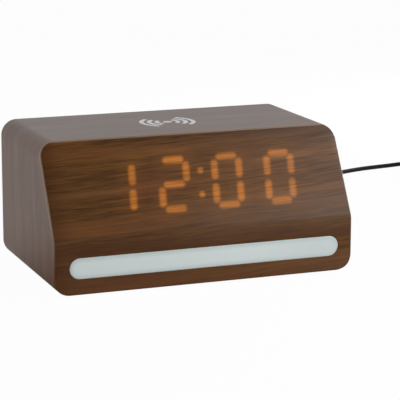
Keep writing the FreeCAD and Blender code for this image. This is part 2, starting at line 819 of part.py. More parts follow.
def make_lamp_board():
    """Strip of circuit board across the back of the reflector."""
    height = lamp_height
    return rounded_bar(-lamp_length / 2.0, lamp_length / 2.0, lamp_z - height / 2.0, lamp_z + height / 2.0,
                       1.0, reflector_back_y, reflector_back_y + board_thickness)


def make_lamp_leds():
    """Row of lamps on the strip, each in its window of the reflector."""
    width, depth, height = lamp_led_size
    return Part.makeCompound([
        block(x - width / 2.0, x + width / 2.0, reflector_back_y - depth, reflector_back_y,
              lamp_z - height / 2.0, lamp_z + height / 2.0)
        for x in lamp_led_places()])


def bar_outline(centre, length, upright):
    """Pointed bar of a digit as six points, leaning with the digit."""
    half = bar_thickness / 2.0
    reach = length / 2.0
    points = [(reach, 0.0), (reach - half, half), (half - reach, half),
              (-reach, 0.0), (half - reach, -half), (reach - half, -half)]
    if upright:
        points = [(y, x) for x, y in points]
    slant = math.tan(math.radians(digit_slant))
    placed = []
    for x, y in points:
        up = centre[1] + y
        placed.append((centre[0] + x + up * slant, up))
    return placed


def digit_bars():
    """Outlines of the seven bars of one digit, about its centre."""
    long_bar = 2.0 * (bar_reach - bar_gap)
    tall_bar = bar_rise - 2.0 * bar_gap
    bars = [bar_outline((0.0, rise * bar_rise), long_bar, False) for rise in (-1, 0, 1)]
    for side in (-1, 1):
        for rise in (-0.5, 0.5):
            bars.append(bar_outline((side * bar_reach, rise * bar_rise), tall_bar, True))
    return bars


def digit_centres():
    """Sideways places of the four digits."""
    return [digit_centre_x + digit_pitch * (index - 1.5) for index in range(4)]


def bar_prisms(high, low):
    """Every bar and both colon dots as flat-laid solids between two depths under the skin."""
    prisms = []
    for centre in digit_centres():
        for outline in digit_bars():
            points = [Vector(centre + x, digit_centre_up + y, -low) for x, y in outline]
            prisms.append(polygon_prism(points, Vector(0, 0, low - high)))
    slant = math.tan(math.radians(digit_slant))
    for rise in (-colon_spread, colon_spread):
        place = Vector(digit_centre_x + rise * slant, digit_centre_up + rise, -low)
        prisms.append(Part.makeCylinder(colon_radius, low - high, place))
    return prisms


def make_display_housing():
    """White block behind the film with a light well for each bar, and two screwed ears."""
    half_up = housing_height / 2.0
    low_up = digit_centre_up - half_up
    high_up = digit_centre_up + half_up
    left = digit_centre_x - housing_half
    right = digit_centre_x + housing_half
    body = block(left, right, low_up, high_up, -housing_depth - film_thickness, -film_thickness)
    ears = block(left - housing_ear, right + housing_ear, low_up, high_up,
                 -behind_board - housing_ear_thickness, -behind_board)
    body = body.fuse(ears).cut(bar_prisms(film_thickness, housing_depth + film_thickness))
    radius = small_screw[0] + tight_gap
    holes = [post(radius, x, up, -far / 4.0, 0) for x, up in housing_screw_places()]
    return onto_slope(body.cut(holes))


def housing_screw_places():
    """Centres of the four screws in the ears of the display, across and up the slope."""
    x = housing_half + housing_ear / 2.0 + loose_gap
    up = housing_height / 2.0 - 6.0
    return [(digit_centre_x + side * x, digit_centre_up + rise * up) for side in (-1, 1) for rise in (-1, 1)]


def housing_ear_seat():
    """Height of the screw heads' seat on the ears of the display, under the skin of the slope."""
    return -behind_board - housing_ear_thickness


def housing_screw_bite():
    """Length of the pilot holes for the display's screws, from that seat."""
    return small_screw_length + tight_gap


def make_display_bars():
    """Milky caps in the light wells, right behind the film."""
    return onto_slope(Part.makeCompound(bar_prisms(film_thickness, film_thickness + bar_cap_thickness)))


def make_display_board():
    """Circuit board across the back of the display block."""
    half_up = housing_height / 2.0
    high = film_thickness + housing_depth
    board = block(digit_centre_x - housing_half, digit_centre_x + housing_half, digit_centre_up - half_up,
                  digit_centre_up + half_up, -high - board_thickness, -high)
    return onto_slope(board)


def make_display_leds():
    """One small lamp at the bottom of every light well."""
    width, height, depth = display_led_size
    base = -film_thickness - housing_depth
    slant = math.tan(math.radians(digit_slant))
    places = []
    for centre in digit_centres():
        for outline in digit_bars():
            across = sum(x for x, up in outline) / len(outline)
            up = sum(up for x, up in outline) / len(outline)
            places.append((centre + across, digit_centre_up + up))
    for rise in (-colon_spread, colon_spread):
        places.append((digit_centre_x + rise * slant, digit_centre_up + rise))
    return onto_slope(Part.makeCompound([
        block(x - width / 2.0, x + width / 2.0, up - height / 2.0, up + height / 2.0, base, base + depth)
        for x, up in places]))


def make_display_screws():
    """Screws through the ears of the display into the front board."""
    seat = housing_ear_seat()
    screws = [screw(small_screw, small_screw_length, Vector(x, up, seat), Vector(0, 0, 1))
              for x, up in housing_screw_places()]
    return onto_slope(Part.makeCompound(screws))


def bent_strip(start, corner, end, radius, thickness, x, width):
    """Flat lead that runs straight, bends once and runs straight again, drawn in the plane of Y and Z."""
    run_in = (corner - start).normalize()
    run_out = (end - corner).normalize()
    turn = run_in.getAngle(run_out)
    reach = radius * math.tan(turn / 2.0)
    side = (run_out - run_in).normalize()
    centre = corner + side * (radius / math.cos(turn / 2.0))
    rails = []
    for offset in (-thickness / 2.0, thickness / 2.0):
        near = radius + offset
        first = centre + (corner - run_in * reach - centre).normalize() * near
        last = centre + (corner + run_out * reach - centre).normalize() * near
        middle = centre - side * near
        shift = first - (corner - run_in * reach)
        rails.append([start + shift, first, middle, last, end + (last - (corner + run_out * reach))])
    inner, outer = rails
    edges = []
    for points in rails:
        edges.append(Part.LineSegment(points[0], points[1]).toShape())
        edges.append(Part.Arc(points[1], points[2], points[3]).toShape())
        edges.append(Part.LineSegment(points[3], points[4]).toShape())
    edges.append(Part.LineSegment(inner[0], outer[0]).toShape())
    edges.append(Part.LineSegment(inner[4], outer[4]).toShape())
    face = Part.Face(Part.Wire(Part.__sortEdges__(edges)))
    face.translate(Vector(x - width / 2.0, 0, 0))
    return face.extrude(Vector(width, 0, 0))


def ribbon_end_z():
    """Height at which the display ribbon meets the main board."""
    return main_centre_z + ribbon_end_rise


def lamp_lead_end_z():
    """Height at which the lamp lead meets the main board."""
    return main_centre_z - main_height / 2.0 + lamp_lead_end_rise


def make_display_ribbon():
    """Flat ribbon from the display to the main board."""
    start = slope_point(digit_centre_up, film_thickness + housing_depth + board_thickness)
    end = Vector(0, plug_end_y(), ribbon_end_z())
    fall = (start.z - end.z) / math.sin(lean)
    corner = start + Vector(0, math.cos(lean), -math.sin(lean)) * fall
    return bent_strip(start, corner, end, ribbon_bend_radius, ribbon_thickness,
                      digit_centre_x - digit_pitch, ribbon_width)


def make_lamp_lead():
    """Flat lead from the light bar's board to the main board, sagging a little."""
    start = Vector(0, reflector_back_y + board_thickness, lamp_z)
    end = Vector(0, plug_end_y(), lamp_lead_end_z())
    corner = Vector(0, (start.y + end.y) / 2.0, lamp_z - lamp_lead_sag)
    turn = (corner - start).getAngle(end - corner)
    radius = 0.8 * (corner - start).Length / math.tan(turn / 2.0)
    return bent_strip(start, corner, end, radius, ribbon_thickness, 0.0, lamp_lead_width)


def tray_post_places():
    """Centres of the posts that carry the charger board."""
    x = charger_length / 2.0 - post_inset
    y = charger_width / 2.0 - post_inset
    return [(side * x, charge_centre_y + back * y) for side in (-1, 1) for back in (-1, 1)]


def tray_ear_places():
    """Centres of the screws that hold the coil tray under the top."""
    radius = pocket_radius + tray_flange
    return [(x, charge_centre_y + y) for x, y in ring_of_places(radius, 4, 45.0)]


def make_coil_tray():
    """Round tray in the pocket of the top: it holds ferrite and coil, and carries the charger board."""
    outer = pocket_radius - loose_gap
    y = charge_centre_y
    tray = post(outer, 0, y, tray_under_z, ceiling_z + pocket_depth - coil_wire)
    tray = tray.cut(post(outer - tray_rim, 0, y, tray_floor_z, top))
    flange_low = ceiling_z - tray_flange_thickness
    flange = post(outer + tray_flange, 0, y, flange_low, ceiling_z)
    for x, ear_y in tray_ear_places():
        flange = flange.fuse(post(tray_ear_radius, x, ear_y, flange_low, ceiling_z))
    flange = flange.cut(post(outer - tray_rim, 0, y, 0, top))
    posts = [post(tray_post_radius, x, py, charger_z, tray_floor_z - 0.4) for x, py in tray_post_places()]
    tray = tray.fuse([flange] + posts)
    radius = small_screw[0] + tight_gap
    holes = [post(radius, x, ear_y, 0, top) for x, ear_y in tray_ear_places()]
    depth = charger_z + small_screw_length
    holes += [post(radius, x, py, 0, depth) for x, py in tray_post_places()]
    return tray.cut(holes).removeSplitter()


def make_tray_screws():
    """Screws through the tray's ears into the top."""
    seat = ceiling_z - tray_flange_thickness
    length = tray_flange_thickness + wall * 0.6
    return Part.makeCompound([screw(small_screw, length, Vector(x, y, seat), Vector(0, 0, 1))
                              for x, y in tray_ear_places()])


def make_ferrite():
    """Round ferrite plate under the charging coil."""
    radius = pocket_radius - loose_gap - tray_rim - tight_gap
    return post(radius, 0, charge_centre_y, tray_floor_z, coil_base_z)


def half_turn(start, end, tangent):
    """Half circle from start to end that leaves start along the tangent."""
    middle = (start + end) * 0.5 + tangent * (start.distanceToPoint(end) / 2.0)
    return Part.Arc(start, middle, end).toShape()


def tube(edges, radius, sides):
    """Many-sided tube along a path that begins straight and level, with one side flat below."""
    path = Part.Wire(edges)
    first = path.OrderedEdges[0]
    start = first.valueAt(first.FirstParameter)
    heading = first.tangentAt(first.FirstParameter)
    across = heading.cross(Vector(0, 0, 1)).normalize()
    corner_reach = radius / math.cos(math.pi / sides)
    steps = [2.0 * math.pi * (index + 0.5) / sides - math.pi / 2.0 for index in range(sides)]
    ring = [start + across * (corner_reach * math.cos(a)) + Vector(0, 0, corner_reach * math.sin(a))
            for a in steps]
    solid = path.makePipeShell([Part.makePolygon(ring + ring[:1])], True, False)
    section = sides * radius * radius * math.tan(math.pi / sides)
    print("tube volume / section x length:", round(solid.Volume / (section * path.Length), 4),
          " length mm:", round(path.Length, 1))
    return solid


def least_gap(edges, radius):
    """Least distance between the surfaces of turns that are not neighbours along the path."""
    path = Part.Wire(edges)
    points = path.discretize(Distance=radius * 0.7)
    step = path.Length / (len(points) - 1)
    skip = int(math.pi * radius * 2.5 / step) + 1
    least = far
    for index, point in enumerate(points):
        for other in points[index + skip:]:
            least = min(least, point.distanceToPoint(other))
    return least - 2.0 * radius


def make_charging_coil():
    """Flat charging coil: a spiral of half turns from its inner end to its outer end."""
    z = coil_base_z + coil_wire / 2.0
    centre = Vector(0, charge_centre_y, z)
    across = Vector(1, 0, 0)
    along = Vector(0, 1, 0)
    edges = []
    side = 1
    radius = coil_inner_radius
    place = centre + across * radius
    edges.append(Part.LineSegment(place - along * coil_wire, place).toShape())
    for index in range(2 * coil_turns):
        radius += coil_pitch / 2.0
        following = centre - across * (side * radius)
        edges.append(half_turn(place, following, along * side))
        place = following
        side = -side
    edges.append(Part.LineSegment(place, place + along * (side * coil_wire)).toShape())
    print("charging coil least gap mm:", round(least_gap(edges, coil_wire / 2.0), 2))
    return tube(edges, coil_wire / 2.0, coil_wire_sides)


def make_charger_board():
    """Charger circuit board, screwed under the tray's posts."""
    x = charger_length / 2.0
    y = charger_width / 2.0
    board = block(-x, x, charge_centre_y - y, charge_centre_y + y, charger_z - board_thickness, charger_z)
    radius = small_screw[0] + tight_gap
    return board.cut([post(radius, px, py, 0, top) for px, py in tray_post_places()])


def make_charger_screws():
    """Screws that hold the charger board to the tray."""
    low = charger_z - board_thickness
    length = small_screw_length + board_thickness - loose_gap
    return Part.makeCompound([screw(small_screw, length, Vector(x, y, low), Vector(0, 0, 1))
                              for x, y in tray_post_places()])


def make_charger_parts():
    """Chips, choke and capacitors on the under side of the charger board."""
    high = charger_z - board_thickness
    parts = []
    for x, back, size, height in charger_chips:
        y = charge_centre_y + back
        parts.append(block(x - size / 2.0, x + size / 2.0, y - size / 2.0, y + size / 2.0,
                           high - height, high))
    for x in charger_can_places:
        parts.append(post(can_radius, x, charge_centre_y + charger_can_back, high - can_length, high))
    return Part.makeCompound(parts)


def make_charger_lead():
    """Flat lead from the charger board to the main board."""
    start = Vector(0, charge_centre_y + charger_width / 2.0 - 5.0, charger_z - board_thickness)
    end = Vector(0, main_front_y, main_centre_z + charger_lead_rise)
    corner = Vector(0, start.y, end.z)
    radius = 0.6 * min(start.z - end.z, end.y - start.y)
    return bent_strip(start, corner, end, radius, ribbon_thickness, charger_lead_x, lamp_lead_width)


def rounded_route(points):
    """Straight runs through the points, joined by tangent arcs as large as the runs allow."""
    edges = []
    radii = []
    start = points[0]
    for before, corner, after in zip(points, points[1:], points[2:]):
        run_in = corner - before
        run_out = after - corner
        turn = run_in.getAngle(run_out)
        reach = 0.45 * min(run_in.Length, run_out.Length)
        radius = reach / math.tan(turn / 2.0)
        heading_in = (corner - before).normalize()
        heading_out = (after - corner).normalize()
        first = corner - heading_in * reach
        last = corner + heading_out * reach
        side = (heading_out - heading_in).normalize()
        middle = corner + side * (radius / math.cos(turn / 2.0) - radius)
        edges.append(Part.LineSegment(start, first).toShape())
        edges.append(Part.Arc(first, middle, last).toShape())
        radii.append(round(radius, 1))
        start = last
    edges.append(Part.LineSegment(start, points[-1]).toShape())
    print("arc radii mm:", radii)
    return edges


def wound_turns():
    """Junctions of the tied coil: half turns that spiral in and out, with a climb at each reversal."""
    inner_shift = wound_pitch * half_turns_per_layer / 4.0
    radius = wound_mean_radius + inner_shift
    height = wound_base_z
    stations = [(radius, height)]
    direction = -1.0
    for layer in range(wound_layers):
        for index in range(half_turns_per_layer):
            radius += direction * wound_pitch / 2.0
            stations.append((radius, height))
        if layer < wound_layers - 1:
            height += wound_pitch
            stations.append((radius, height))
            direction = -direction
    return stations


def wound_ends():
    """Where the tied coil begins and ends, one cord diameter before and after its turns."""
    stations = wound_turns()
    x, y = wound_centre
    first = Vector(x - cord_diameter, y + stations[0][0], stations[0][1])
    side = -1.0 if len(stations) % 2 == 0 else 1.0
    last = Vector(x + side * cord_diameter, y + side * stations[-1][0], stations[-1][1])
    return first, last


def make_cord_coil():
    """Spare length of the cord in one tied round coil."""
    stations = wound_turns()
    first, last = wound_ends()
    x, y = wound_centre
    edges = []
    side = 1.0
    place = Vector(x, y + stations[0][0], stations[0][1])
    edges.append(Part.LineSegment(first, place).toShape())
    for radius, height in stations[1:]:
        following = Vector(x, y - side * radius, height)
        edges.append(half_turn(place, following, Vector(side, 0, 0)))
        place = following
        side = -side
    edges.append(Part.LineSegment(place, last).toShape())
    print("tied coil least gap mm:", round(least_gap(edges, cord_radius), 2))
    return tube(edges, cord_radius, cord_sides)


def make_power_cord():
    """Cord from the plug's strain relief to the tied coil."""
    first, last = wound_ends()
    start = Vector(socket_x, relief_end_y, socket_z)
    points = [start, start + Vector(0, cord_lead, 0)] + [Vector(*point) for point in cord_route]
    points += [first - Vector(cord_lead, 0, 0), first]
    return tube(rounded_route(points), cord_radius, cord_sides)


def make_cord_tail():
    """Cord from the tied coil down to its far plug."""
    first, last = wound_ends()
    end = Vector(tail_end_x, usb_plug_end_y, usb_grip_height / 2.0)
    points = [last, last - Vector(cord_lead, 0, 0)] + [Vector(*point) for point in tail_route]
    points += [end + Vector(0, cord_lead, 0), end]
    return tube(rounded_route(points), cord_radius, cord_sides)


def make_cord_tie():
    """Strap round the turns at the far side of the coil."""
    x, y = wound_centre
    spread = wound_pitch * half_turns_per_layer / 4.0 + cord_radius + tie_gap
    inner_x = x + wound_mean_radius - spread - tie_gap
    outer_x = x + wound_mean_radius + spread
    low = tie_thickness
    high = wound_base_z + wound_pitch * (wound_layers - 1) + cord_radius + tie_gap
    t = tie_thickness
    outside = rounded_bar(inner_x - t, outer_x + t, low - t, high + t, tie_corner_radius + t,
                          y - tie_width / 2.0, y + tie_width / 2.0)
    inside = rounded_bar(inner_x, outer_x, low, high, tie_corner_radius, y - tie_width, y + tie_width)
    return outside.cut(inside)


def make_usb_grip():
    """Moulded grip of the charging plug, with a short round strain relief."""
    x = tail_end_x
    z = usb_grip_height / 2.0
    relief_y = usb_plug_end_y - usb_relief_length
    half = usb_grip_width / 2.0
    grip = rounded_bar(x - half, x + half, 0, usb_grip_height, usb_corner_radius,
                       relief_y - usb_grip_length, relief_y)
    rim = edges_where(grip, lambda p: abs(p.y - relief_y) < 0.001)
    grip = grip.makeChamfer(usb_grip_edge, rim)
    relief = Part.makeCone(usb_relief_radius, cord_radius + 0.3, usb_relief_length,
                           Vector(x, relief_y, z), Vector(0, 1, 0))
    return grip.fuse(relief).removeSplitter()


def usb_shell_span():
    """Front and back of the metal mouth of the charging plug."""
    back = usb_plug_end_y - usb_relief_length - usb_grip_length
    return back - usb_shell_length, back


def make_usb_shell():
    """Folded metal mouth of the charging plug."""
    x = tail_end_x
    z = usb_grip_height / 2.0
    front, back = usb_shell_span()
    w = usb_shell_width / 2.0
    h = usb_shell_height / 2.0
    t = usb_shell_wall
    shell = block(x - w, x + w, front, back, z - h, z + h)
    shell = shell.cut(block(x - w + t, x + w - t, front - 1.0, back + 1.0, z - h + t, z + h - t))
    low = front + usb_window_from_front
    windows = []
    for middle in (x - w / 2.0, x + w / 2.0):
        windows.append(block(middle - usb_window / 2.0, middle + usb_window / 2.0, low, low + usb_window,
                             z, z + far))
    return shell.cut(windows)


def make_usb_tongue():
    """Plastic tongue in the metal mouth."""
    x = tail_end_x
    low = usb_grip_height / 2.0 - usb_shell_height / 2.0 + usb_shell_wall + tight_gap
    half = usb_shell_width / 2.0 - usb_shell_wall - tight_gap
    front, back = usb_shell_span()
    return block(x - half, x + half, front + 0.4, back, low, low + usb_tongue_height)


def main():
    """Build every part and write each to a file of its own."""
    makers = {
        "case_band": make_case_band, "front_board": make_front_board, "front_film": make_front_film,
        "corner_blocks": make_corner_blocks, "feet": make_feet, "rear_cover": make_rear_cover,
        "cover_screws": make_cover_screws, "lamp_diffuser": make_lamp_diffuser,
        "lamp_reflector": make_reflector, "lamp_screws": make_lamp_screws, "lamp_board": make_lamp_board,
        "lamp_leds": make_lamp_leds, "lamp_lead": make_lamp_lead,
        "display_housing": make_display_housing, "display_bars": make_display_bars,
        "display_board": make_display_board, "display_leds": make_display_leds,
        "display_screws": make_display_screws, "display_ribbon": make_display_ribbon,
        "coil_tray": make_coil_tray, "tray_screws": make_tray_screws, "coil_ferrite": make_ferrite,
        "charging_coil": make_charging_coil, "charger_board": make_charger_board,
        "charger_screws": make_charger_screws, "charger_parts": make_charger_parts,
        "charger_lead": make_charger_lead, "main_board": make_main_board, "main_parts": make_main_parts,
        "board_screws": make_board_screws, "tact_switches": make_switches, "buzzer": make_buzzer,
        "battery_holder": make_holder, "battery_contacts": make_contacts, "coin_cell": make_cell,
        "battery_door": make_door, "power_socket": make_socket, "socket_pin": make_socket_pin,
        "plug_barrel": make_plug_barrel, "plug_grip": make_plug_grip, "power_cord": make_power_cord,
        "cord_coil": make_cord_coil, "cord_tail": make_cord_tail, "cord_tie": make_cord_tie,
        "usb_grip": make_usb_grip, "usb_shell": make_usb_shell, "usb_tongue": make_usb_tongue,
    }
    for name in button_names:
        makers[name + "_button"] = lambda name=name: make_button(name)
        makers[name + "_plunger"] = lambda name=name: make_plunger(name)
    os.makedirs("parts", exist_ok=True)
    for name, make in makers.items():
        shape = make()
        if not shape.isValid() or shape.Volume <= 0.0:
            raise ValueError(name + " is not a sound solid")
        shape.exportStep("parts/" + name + ".step")
        print(name, "solids:", len(shape.Solids), "volume:", round(shape.Volume, 1))


main()
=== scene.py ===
import bpy
import bmesh
import json
import math
from mathutils import Matrix, Vector
from mathutils.geometry import delaunay_2d_cdt

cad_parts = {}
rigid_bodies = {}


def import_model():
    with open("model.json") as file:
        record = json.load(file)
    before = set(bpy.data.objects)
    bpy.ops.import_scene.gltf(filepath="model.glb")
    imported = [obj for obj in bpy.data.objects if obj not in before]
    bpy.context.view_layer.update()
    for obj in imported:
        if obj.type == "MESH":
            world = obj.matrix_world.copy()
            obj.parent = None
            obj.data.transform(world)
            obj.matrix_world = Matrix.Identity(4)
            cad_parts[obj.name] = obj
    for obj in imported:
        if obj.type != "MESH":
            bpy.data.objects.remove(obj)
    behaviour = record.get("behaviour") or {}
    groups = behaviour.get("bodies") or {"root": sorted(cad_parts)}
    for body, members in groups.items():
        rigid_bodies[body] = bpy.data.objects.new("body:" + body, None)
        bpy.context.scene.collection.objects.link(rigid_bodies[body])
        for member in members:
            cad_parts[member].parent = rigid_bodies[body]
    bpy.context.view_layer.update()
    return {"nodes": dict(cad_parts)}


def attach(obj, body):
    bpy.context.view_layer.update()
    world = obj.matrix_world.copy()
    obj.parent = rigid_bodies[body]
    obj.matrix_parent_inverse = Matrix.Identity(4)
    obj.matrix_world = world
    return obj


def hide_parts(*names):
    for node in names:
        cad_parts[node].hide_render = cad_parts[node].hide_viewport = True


for spare in list(bpy.data.objects):
    bpy.data.objects.remove(spare)
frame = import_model()


# Case band
# The case is one band of fibre board with a printed wood film wrapped round it, so the grain runs
# round the corners: across the top and down the sides. Its front edge follows the bent front, and
# the top is thinned from inside over the charging coil.
mm = 0.001
case_half_width = 88.0
case_low = 1.2
case_high = 81.2
case_corner = 9.1
case_wall = 5.0
skin_y = -51.6
case_rear_y = 52.0
crease_z = 31.9
crease_radius = 7.7
head_set_back = 27.6
lean = math.atan2(head_set_back, case_high - crease_z)
crease_low = crease_z - crease_radius * math.tan(lean / 2.0)
bend_cuts = 9
corner_steps = 14
smooth_angle = math.radians(35.0)
band_depth = 0.3
band_front_edge = 0.9
band_rear_edge = 0.6
front_edge_steps = 6
rear_edge_steps = 4
charge_place = Vector((0.0, 12.0))
pocket_radius = 27.0
pocket_sides = 96
pocket_top = 78.2
pocket_cut_height = 8.0
mark_dot_radius = 2.7
mark_arc_radii = (6.2, 10.6, 15.0)
mark_arc_half_width = 1.3
mark_opening = (0.60, 0.63)
mark_arc_softness = 0.08
mark_dot_softness = 0.10
mark_white = (0.93, 0.93, 0.92)
wood_dark = (0.040, 0.0132, 0.0018)
wood_pale = (0.202, 0.0812, 0.0165)
wood_streak = (0.270, 0.112, 0.040)
wood_patch = (0.150, 0.047, 0.018)
wood_pore = (0.030, 0.012, 0.005)
band_brown = (0.107, 0.0370, 0.0170)
band_top_painted_sheen = (0.082, 0.0500, 0.0360)
band_painted_shade_warm = (0.205, 0.0700, 0.0230)
band_painted_rim_highlight = (0.315, 0.222, 0.165)


def front_surface_y(z, depth):
    """Where the bent front lies at a height, a depth under its skin, in millimetres."""
    radius = crease_radius - depth
    if z <= crease_low:
        return skin_y + depth
    if z < crease_low + radius * math.sin(lean):
        return skin_y + crease_radius - math.sqrt(radius * radius - (z - crease_low) ** 2)
    return skin_y + (z - crease_z) * math.tan(lean) + depth / math.cos(lean)


def bend_levels():
    """Heights at which a mesh is cut so that the bend stays round."""
    height = crease_radius * math.sin(lean)
    return [crease_low + height * cut / (bend_cuts - 1) for cut in range(bend_cuts)]


def rounded_outline(half_width, low, high, radius, steps, levels=()):
    """Rounded rectangle from its foot's middle, as (x, z, distance) points, its sides cut at levels."""
    centres = [(half_width - radius, low + radius, -90), (half_width - radius, high - radius, 0),
               (radius - half_width, high - radius, 90), (radius - half_width, low + radius, 180)]
    points = [(0.0, low)]
    for index, (x, z, start) in enumerate(centres):
        for step in range(steps + 1):
            angle = math.radians(start + 90.0 * step / steps)
            points.append((x + radius * math.cos(angle), z + radius * math.sin(angle)))
        if index == 0:
            points += [(half_width, level) for level in levels]
        if index == 2:
            points += [(-half_width, level) for level in reversed(levels)]
    placed = []
    travelled = 0.0
    before = points[0]
    for point in points:
        travelled += math.dist(before, point)
        placed.append((*point, travelled))
        before = point
    return placed


def quarter_round(radius, steps):
    """Inset and depth of points round an edge, from its face to its side."""
    turns = [math.radians(90.0 * step / steps) for step in range(steps + 1)]
    return [(radius * (1.0 - math.sin(turn)), radius * (1.0 - math.cos(turn))) for turn in turns]


def strips(loops, count, closed=False):
    """Faces between each loop of points and the next."""
    faces = []
    for loop in range(loops if closed else loops - 1):
        start, following = loop * count, (loop + 1) % loops * count
        for step in range(count):
            beside = (step + 1) % count
            faces.append((start + step, start + beside, following + beside, following + step))
    return faces


def new_object(name, data):
    """Object in the scene with its data."""
    made = bpy.data.objects.new(name, data)
    bpy.context.scene.collection.objects.link(made)
    return made


def mesh_piece(name, points, faces):
    """Object from points in millimetres and faces, shaded smooth up to an angle."""
    mesh = bpy.data.meshes.new(name)
    mesh.from_pydata([Vector(point) * mm for point in points], [], faces)
    mesh.validate()
    mesh.shade_smooth()
    mesh.set_sharp_from_angle(angle=smooth_angle)
    return new_object(name, mesh)


def bake_modifiers(piece, even=True):
    """Make what the modifiers give the piece's own mesh, with normals weighted by area."""
    if even:
        piece.modifiers.new("even", "WEIGHTED_NORMAL").keep_sharp = True
    evaluated = piece.evaluated_get(bpy.context.evaluated_depsgraph_get())
    mesh = bpy.data.meshes.new_from_object(evaluated)
    piece.modifiers.clear()
    piece.data = mesh
    mesh.name = piece.name
    return piece


def put(kind, inputs, tree=None, **settings):
    """Add a node with its settings and its inputs, linked or plain, and give its first output. It
    goes into the given tree, or else into the tree of the sockets among its inputs."""
    linked = {key: value for key, value in inputs.items() if isinstance(value, bpy.types.NodeSocket)}
    tree = tree or next(iter(linked.values())).id_data
    made = tree.nodes.new(kind)
    for name, value in settings.items():
        setattr(made, name, value)
    for key, value in inputs.items():
        socket = made.inputs[key]
        if key in linked:
            tree.links.new(value, socket)
        else:
            socket.default_value = (*value, 1.0) if socket.type == "RGBA" else value
    return made.outputs[0] if len(made.outputs) else made


def calc(operation, *values):
    """Arithmetic on sockets and numbers."""
    return put("ShaderNodeMath", dict(enumerate(values)), operation=operation)


def times(first, second):
    """Product of two sockets or numbers."""
    return calc("MULTIPLY", first, second)


def plus(first, second):
    """Sum of two sockets or numbers."""
    return calc("ADD", first, second)


def minus(first, second):
    """Difference of two sockets or numbers."""
    return calc("SUBTRACT", first, second)


def split(place):
    """The three axes of a place."""
    return put("ShaderNodeSeparateXYZ", {0: place}).node.outputs


def flat_length(x, y):
    """Length of a flat vector."""
    flat = put("ShaderNodeCombineXYZ", {"X": x, "Y": y})
    return put("ShaderNodeVectorMath", {0: flat}, operation="LENGTH").node.outputs["Value"]


def tint(factor, first, second):
    """Mix two colours."""
    made = put("ShaderNodeMix", {0: factor, 6: first, 7: second}, data_type="RGBA")
    return made.node.outputs[2]


def coated(colour, *coats):
    """Lay colours over one in turn, each as its amount and its colour."""
    for amount, coat in coats:
        colour = tint(amount, colour, coat)
    return colour


def spread(value, low, high, to_low=0.0, to_high=1.0):
    """Stretch a value from one range to another, eased at both ends."""
    return put("ShaderNodeMapRange", {0: value, 1: low, 2: high, 3: to_low, 4: to_high},
               interpolation_type="SMOOTHSTEP")


def grain(place, per_metre, detail=3.0, roughness=0.55, offset=(0.0, 0.0, 0.0)):
    """Noise with its count of waves per metre, the same or its own along each direction."""
    scale = per_metre if isinstance(per_metre, tuple) else (per_metre,) * 3
    turned = put("ShaderNodeMapping", {"Vector": place, "Location": offset, "Scale": scale})
    return put("ShaderNodeTexNoise",
               {"Vector": turned, "Scale": 1.0, "Detail": detail, "Roughness": roughness})


def ring_span(distance, low, high, soft):
    """One between two distances and nought outside, with soft edges."""
    rise = spread(distance, low - soft, low + soft)
    fall = spread(distance, high - soft, high + soft)
    return times(rise, minus(1.0, fall))


def print_place(material):
    """Place on the printed film, with its X along the grain, in metres."""
    made = put("ShaderNodeAttribute", {}, material.node_tree, attribute_name="grain")
    return made.node.outputs["Vector"]


def new_material(name):
    """Empty node material, and the piece's own coordinates in it, in metres."""
    material = bpy.data.materials.new(name)
    material.use_nodes = True
    material.node_tree.nodes.clear()
    return material, put("ShaderNodeTexCoord", {}, material.node_tree).node.outputs["Object"]


def surface(colour, roughness, height, relief, **shader):
    """Shader of a material, with its relief in metres, and its output."""
    bump = put("ShaderNodeBump", {"Height": height, "Distance": relief, "Strength": 1.0})
    inputs = {"Base Color": colour, "Roughness": roughness, "Normal": bump}
    inputs.update({key.replace("_", " "): value for key, value in shader.items()})
    put("ShaderNodeOutputMaterial", {"Surface": put("ShaderNodeBsdfPrincipled", inputs)})


def new_group(name, inputs, outputs, kind="ShaderNodeTree"):
    """Node group with named sockets of given kinds, and the sockets that give its inputs."""
    group = bpy.data.node_groups.new(name, kind)
    for in_out, sockets in (("OUTPUT", outputs), ("INPUT", inputs)):
        for socket, socket_kind in sockets.items():
            group.interface.new_socket(socket, in_out=in_out, socket_type="NodeSocket" + socket_kind)
    return group, put("NodeGroupInput", {}, group).node.outputs


def walnut_group():
    """Printed walnut: colour, darkness and relief from a place whose X runs along the grain."""
    group, given = new_group("walnut_print", {"Place": "Vector"},
                             {"Colour": "Color", "Darkness": "Float", "Relief": "Float"})
    place = given["Place"]
    wander = grain(place, (7.0, 22.0, 9.0), 2.0, 0.5, (3.1, 0.0, 0.0))
    shift = put("ShaderNodeCombineXYZ", {"Y": times(minus(wander, 0.5), 0.011)})
    bent = put("ShaderNodeVectorMath", {0: place, 1: shift}, operation="ADD")
    bands = grain(bent, (5.0, 80.0, 40.0), 2.0, 0.5)
    lines = grain(bent, (16.0, 520.0, 300.0), 2.0, 0.55, (0.0, 7.0, 0.0))
    hairs = grain(bent, (55.0, 1400.0, 500.0), 2.0, 0.6, (2.0, 3.0, 0.0))
    streaks = grain(bent, (4.0, 230.0, 90.0), 2.0, 0.5, (0.0, 1.0, 2.0))
    pores = grain(bent, (75.0, 2600.0, 900.0), 2.0, 0.5, (0.0, 0.0, 4.0))
    patches = grain(bent, (22.0, 45.0, 30.0), 2.0, 0.5, (9.0, 2.0, 0.0))
    tone = plus(spread(bands, 0.30, 0.70, 0.0, 0.26), spread(lines, 0.30, 0.70, 0.0, 0.34))
    tone = plus(tone, spread(hairs, 0.35, 0.65, 0.0, 0.40))
    holes = spread(pores, 0.60, 0.74)
    colour = coated(tint(tone, wood_dark, wood_pale),
                    (spread(streaks, 0.54, 0.72, 0.0, 0.40), wood_streak),
                    (spread(patches, 0.52, 0.75, 0.0, 0.45), wood_patch),
                    (times(holes, 0.45), wood_pore))
    put("NodeGroupOutput", {"Colour": colour, "Darkness": minus(1.0, tone),
                            "Relief": minus(times(lines, 0.35), holes)})
    return group


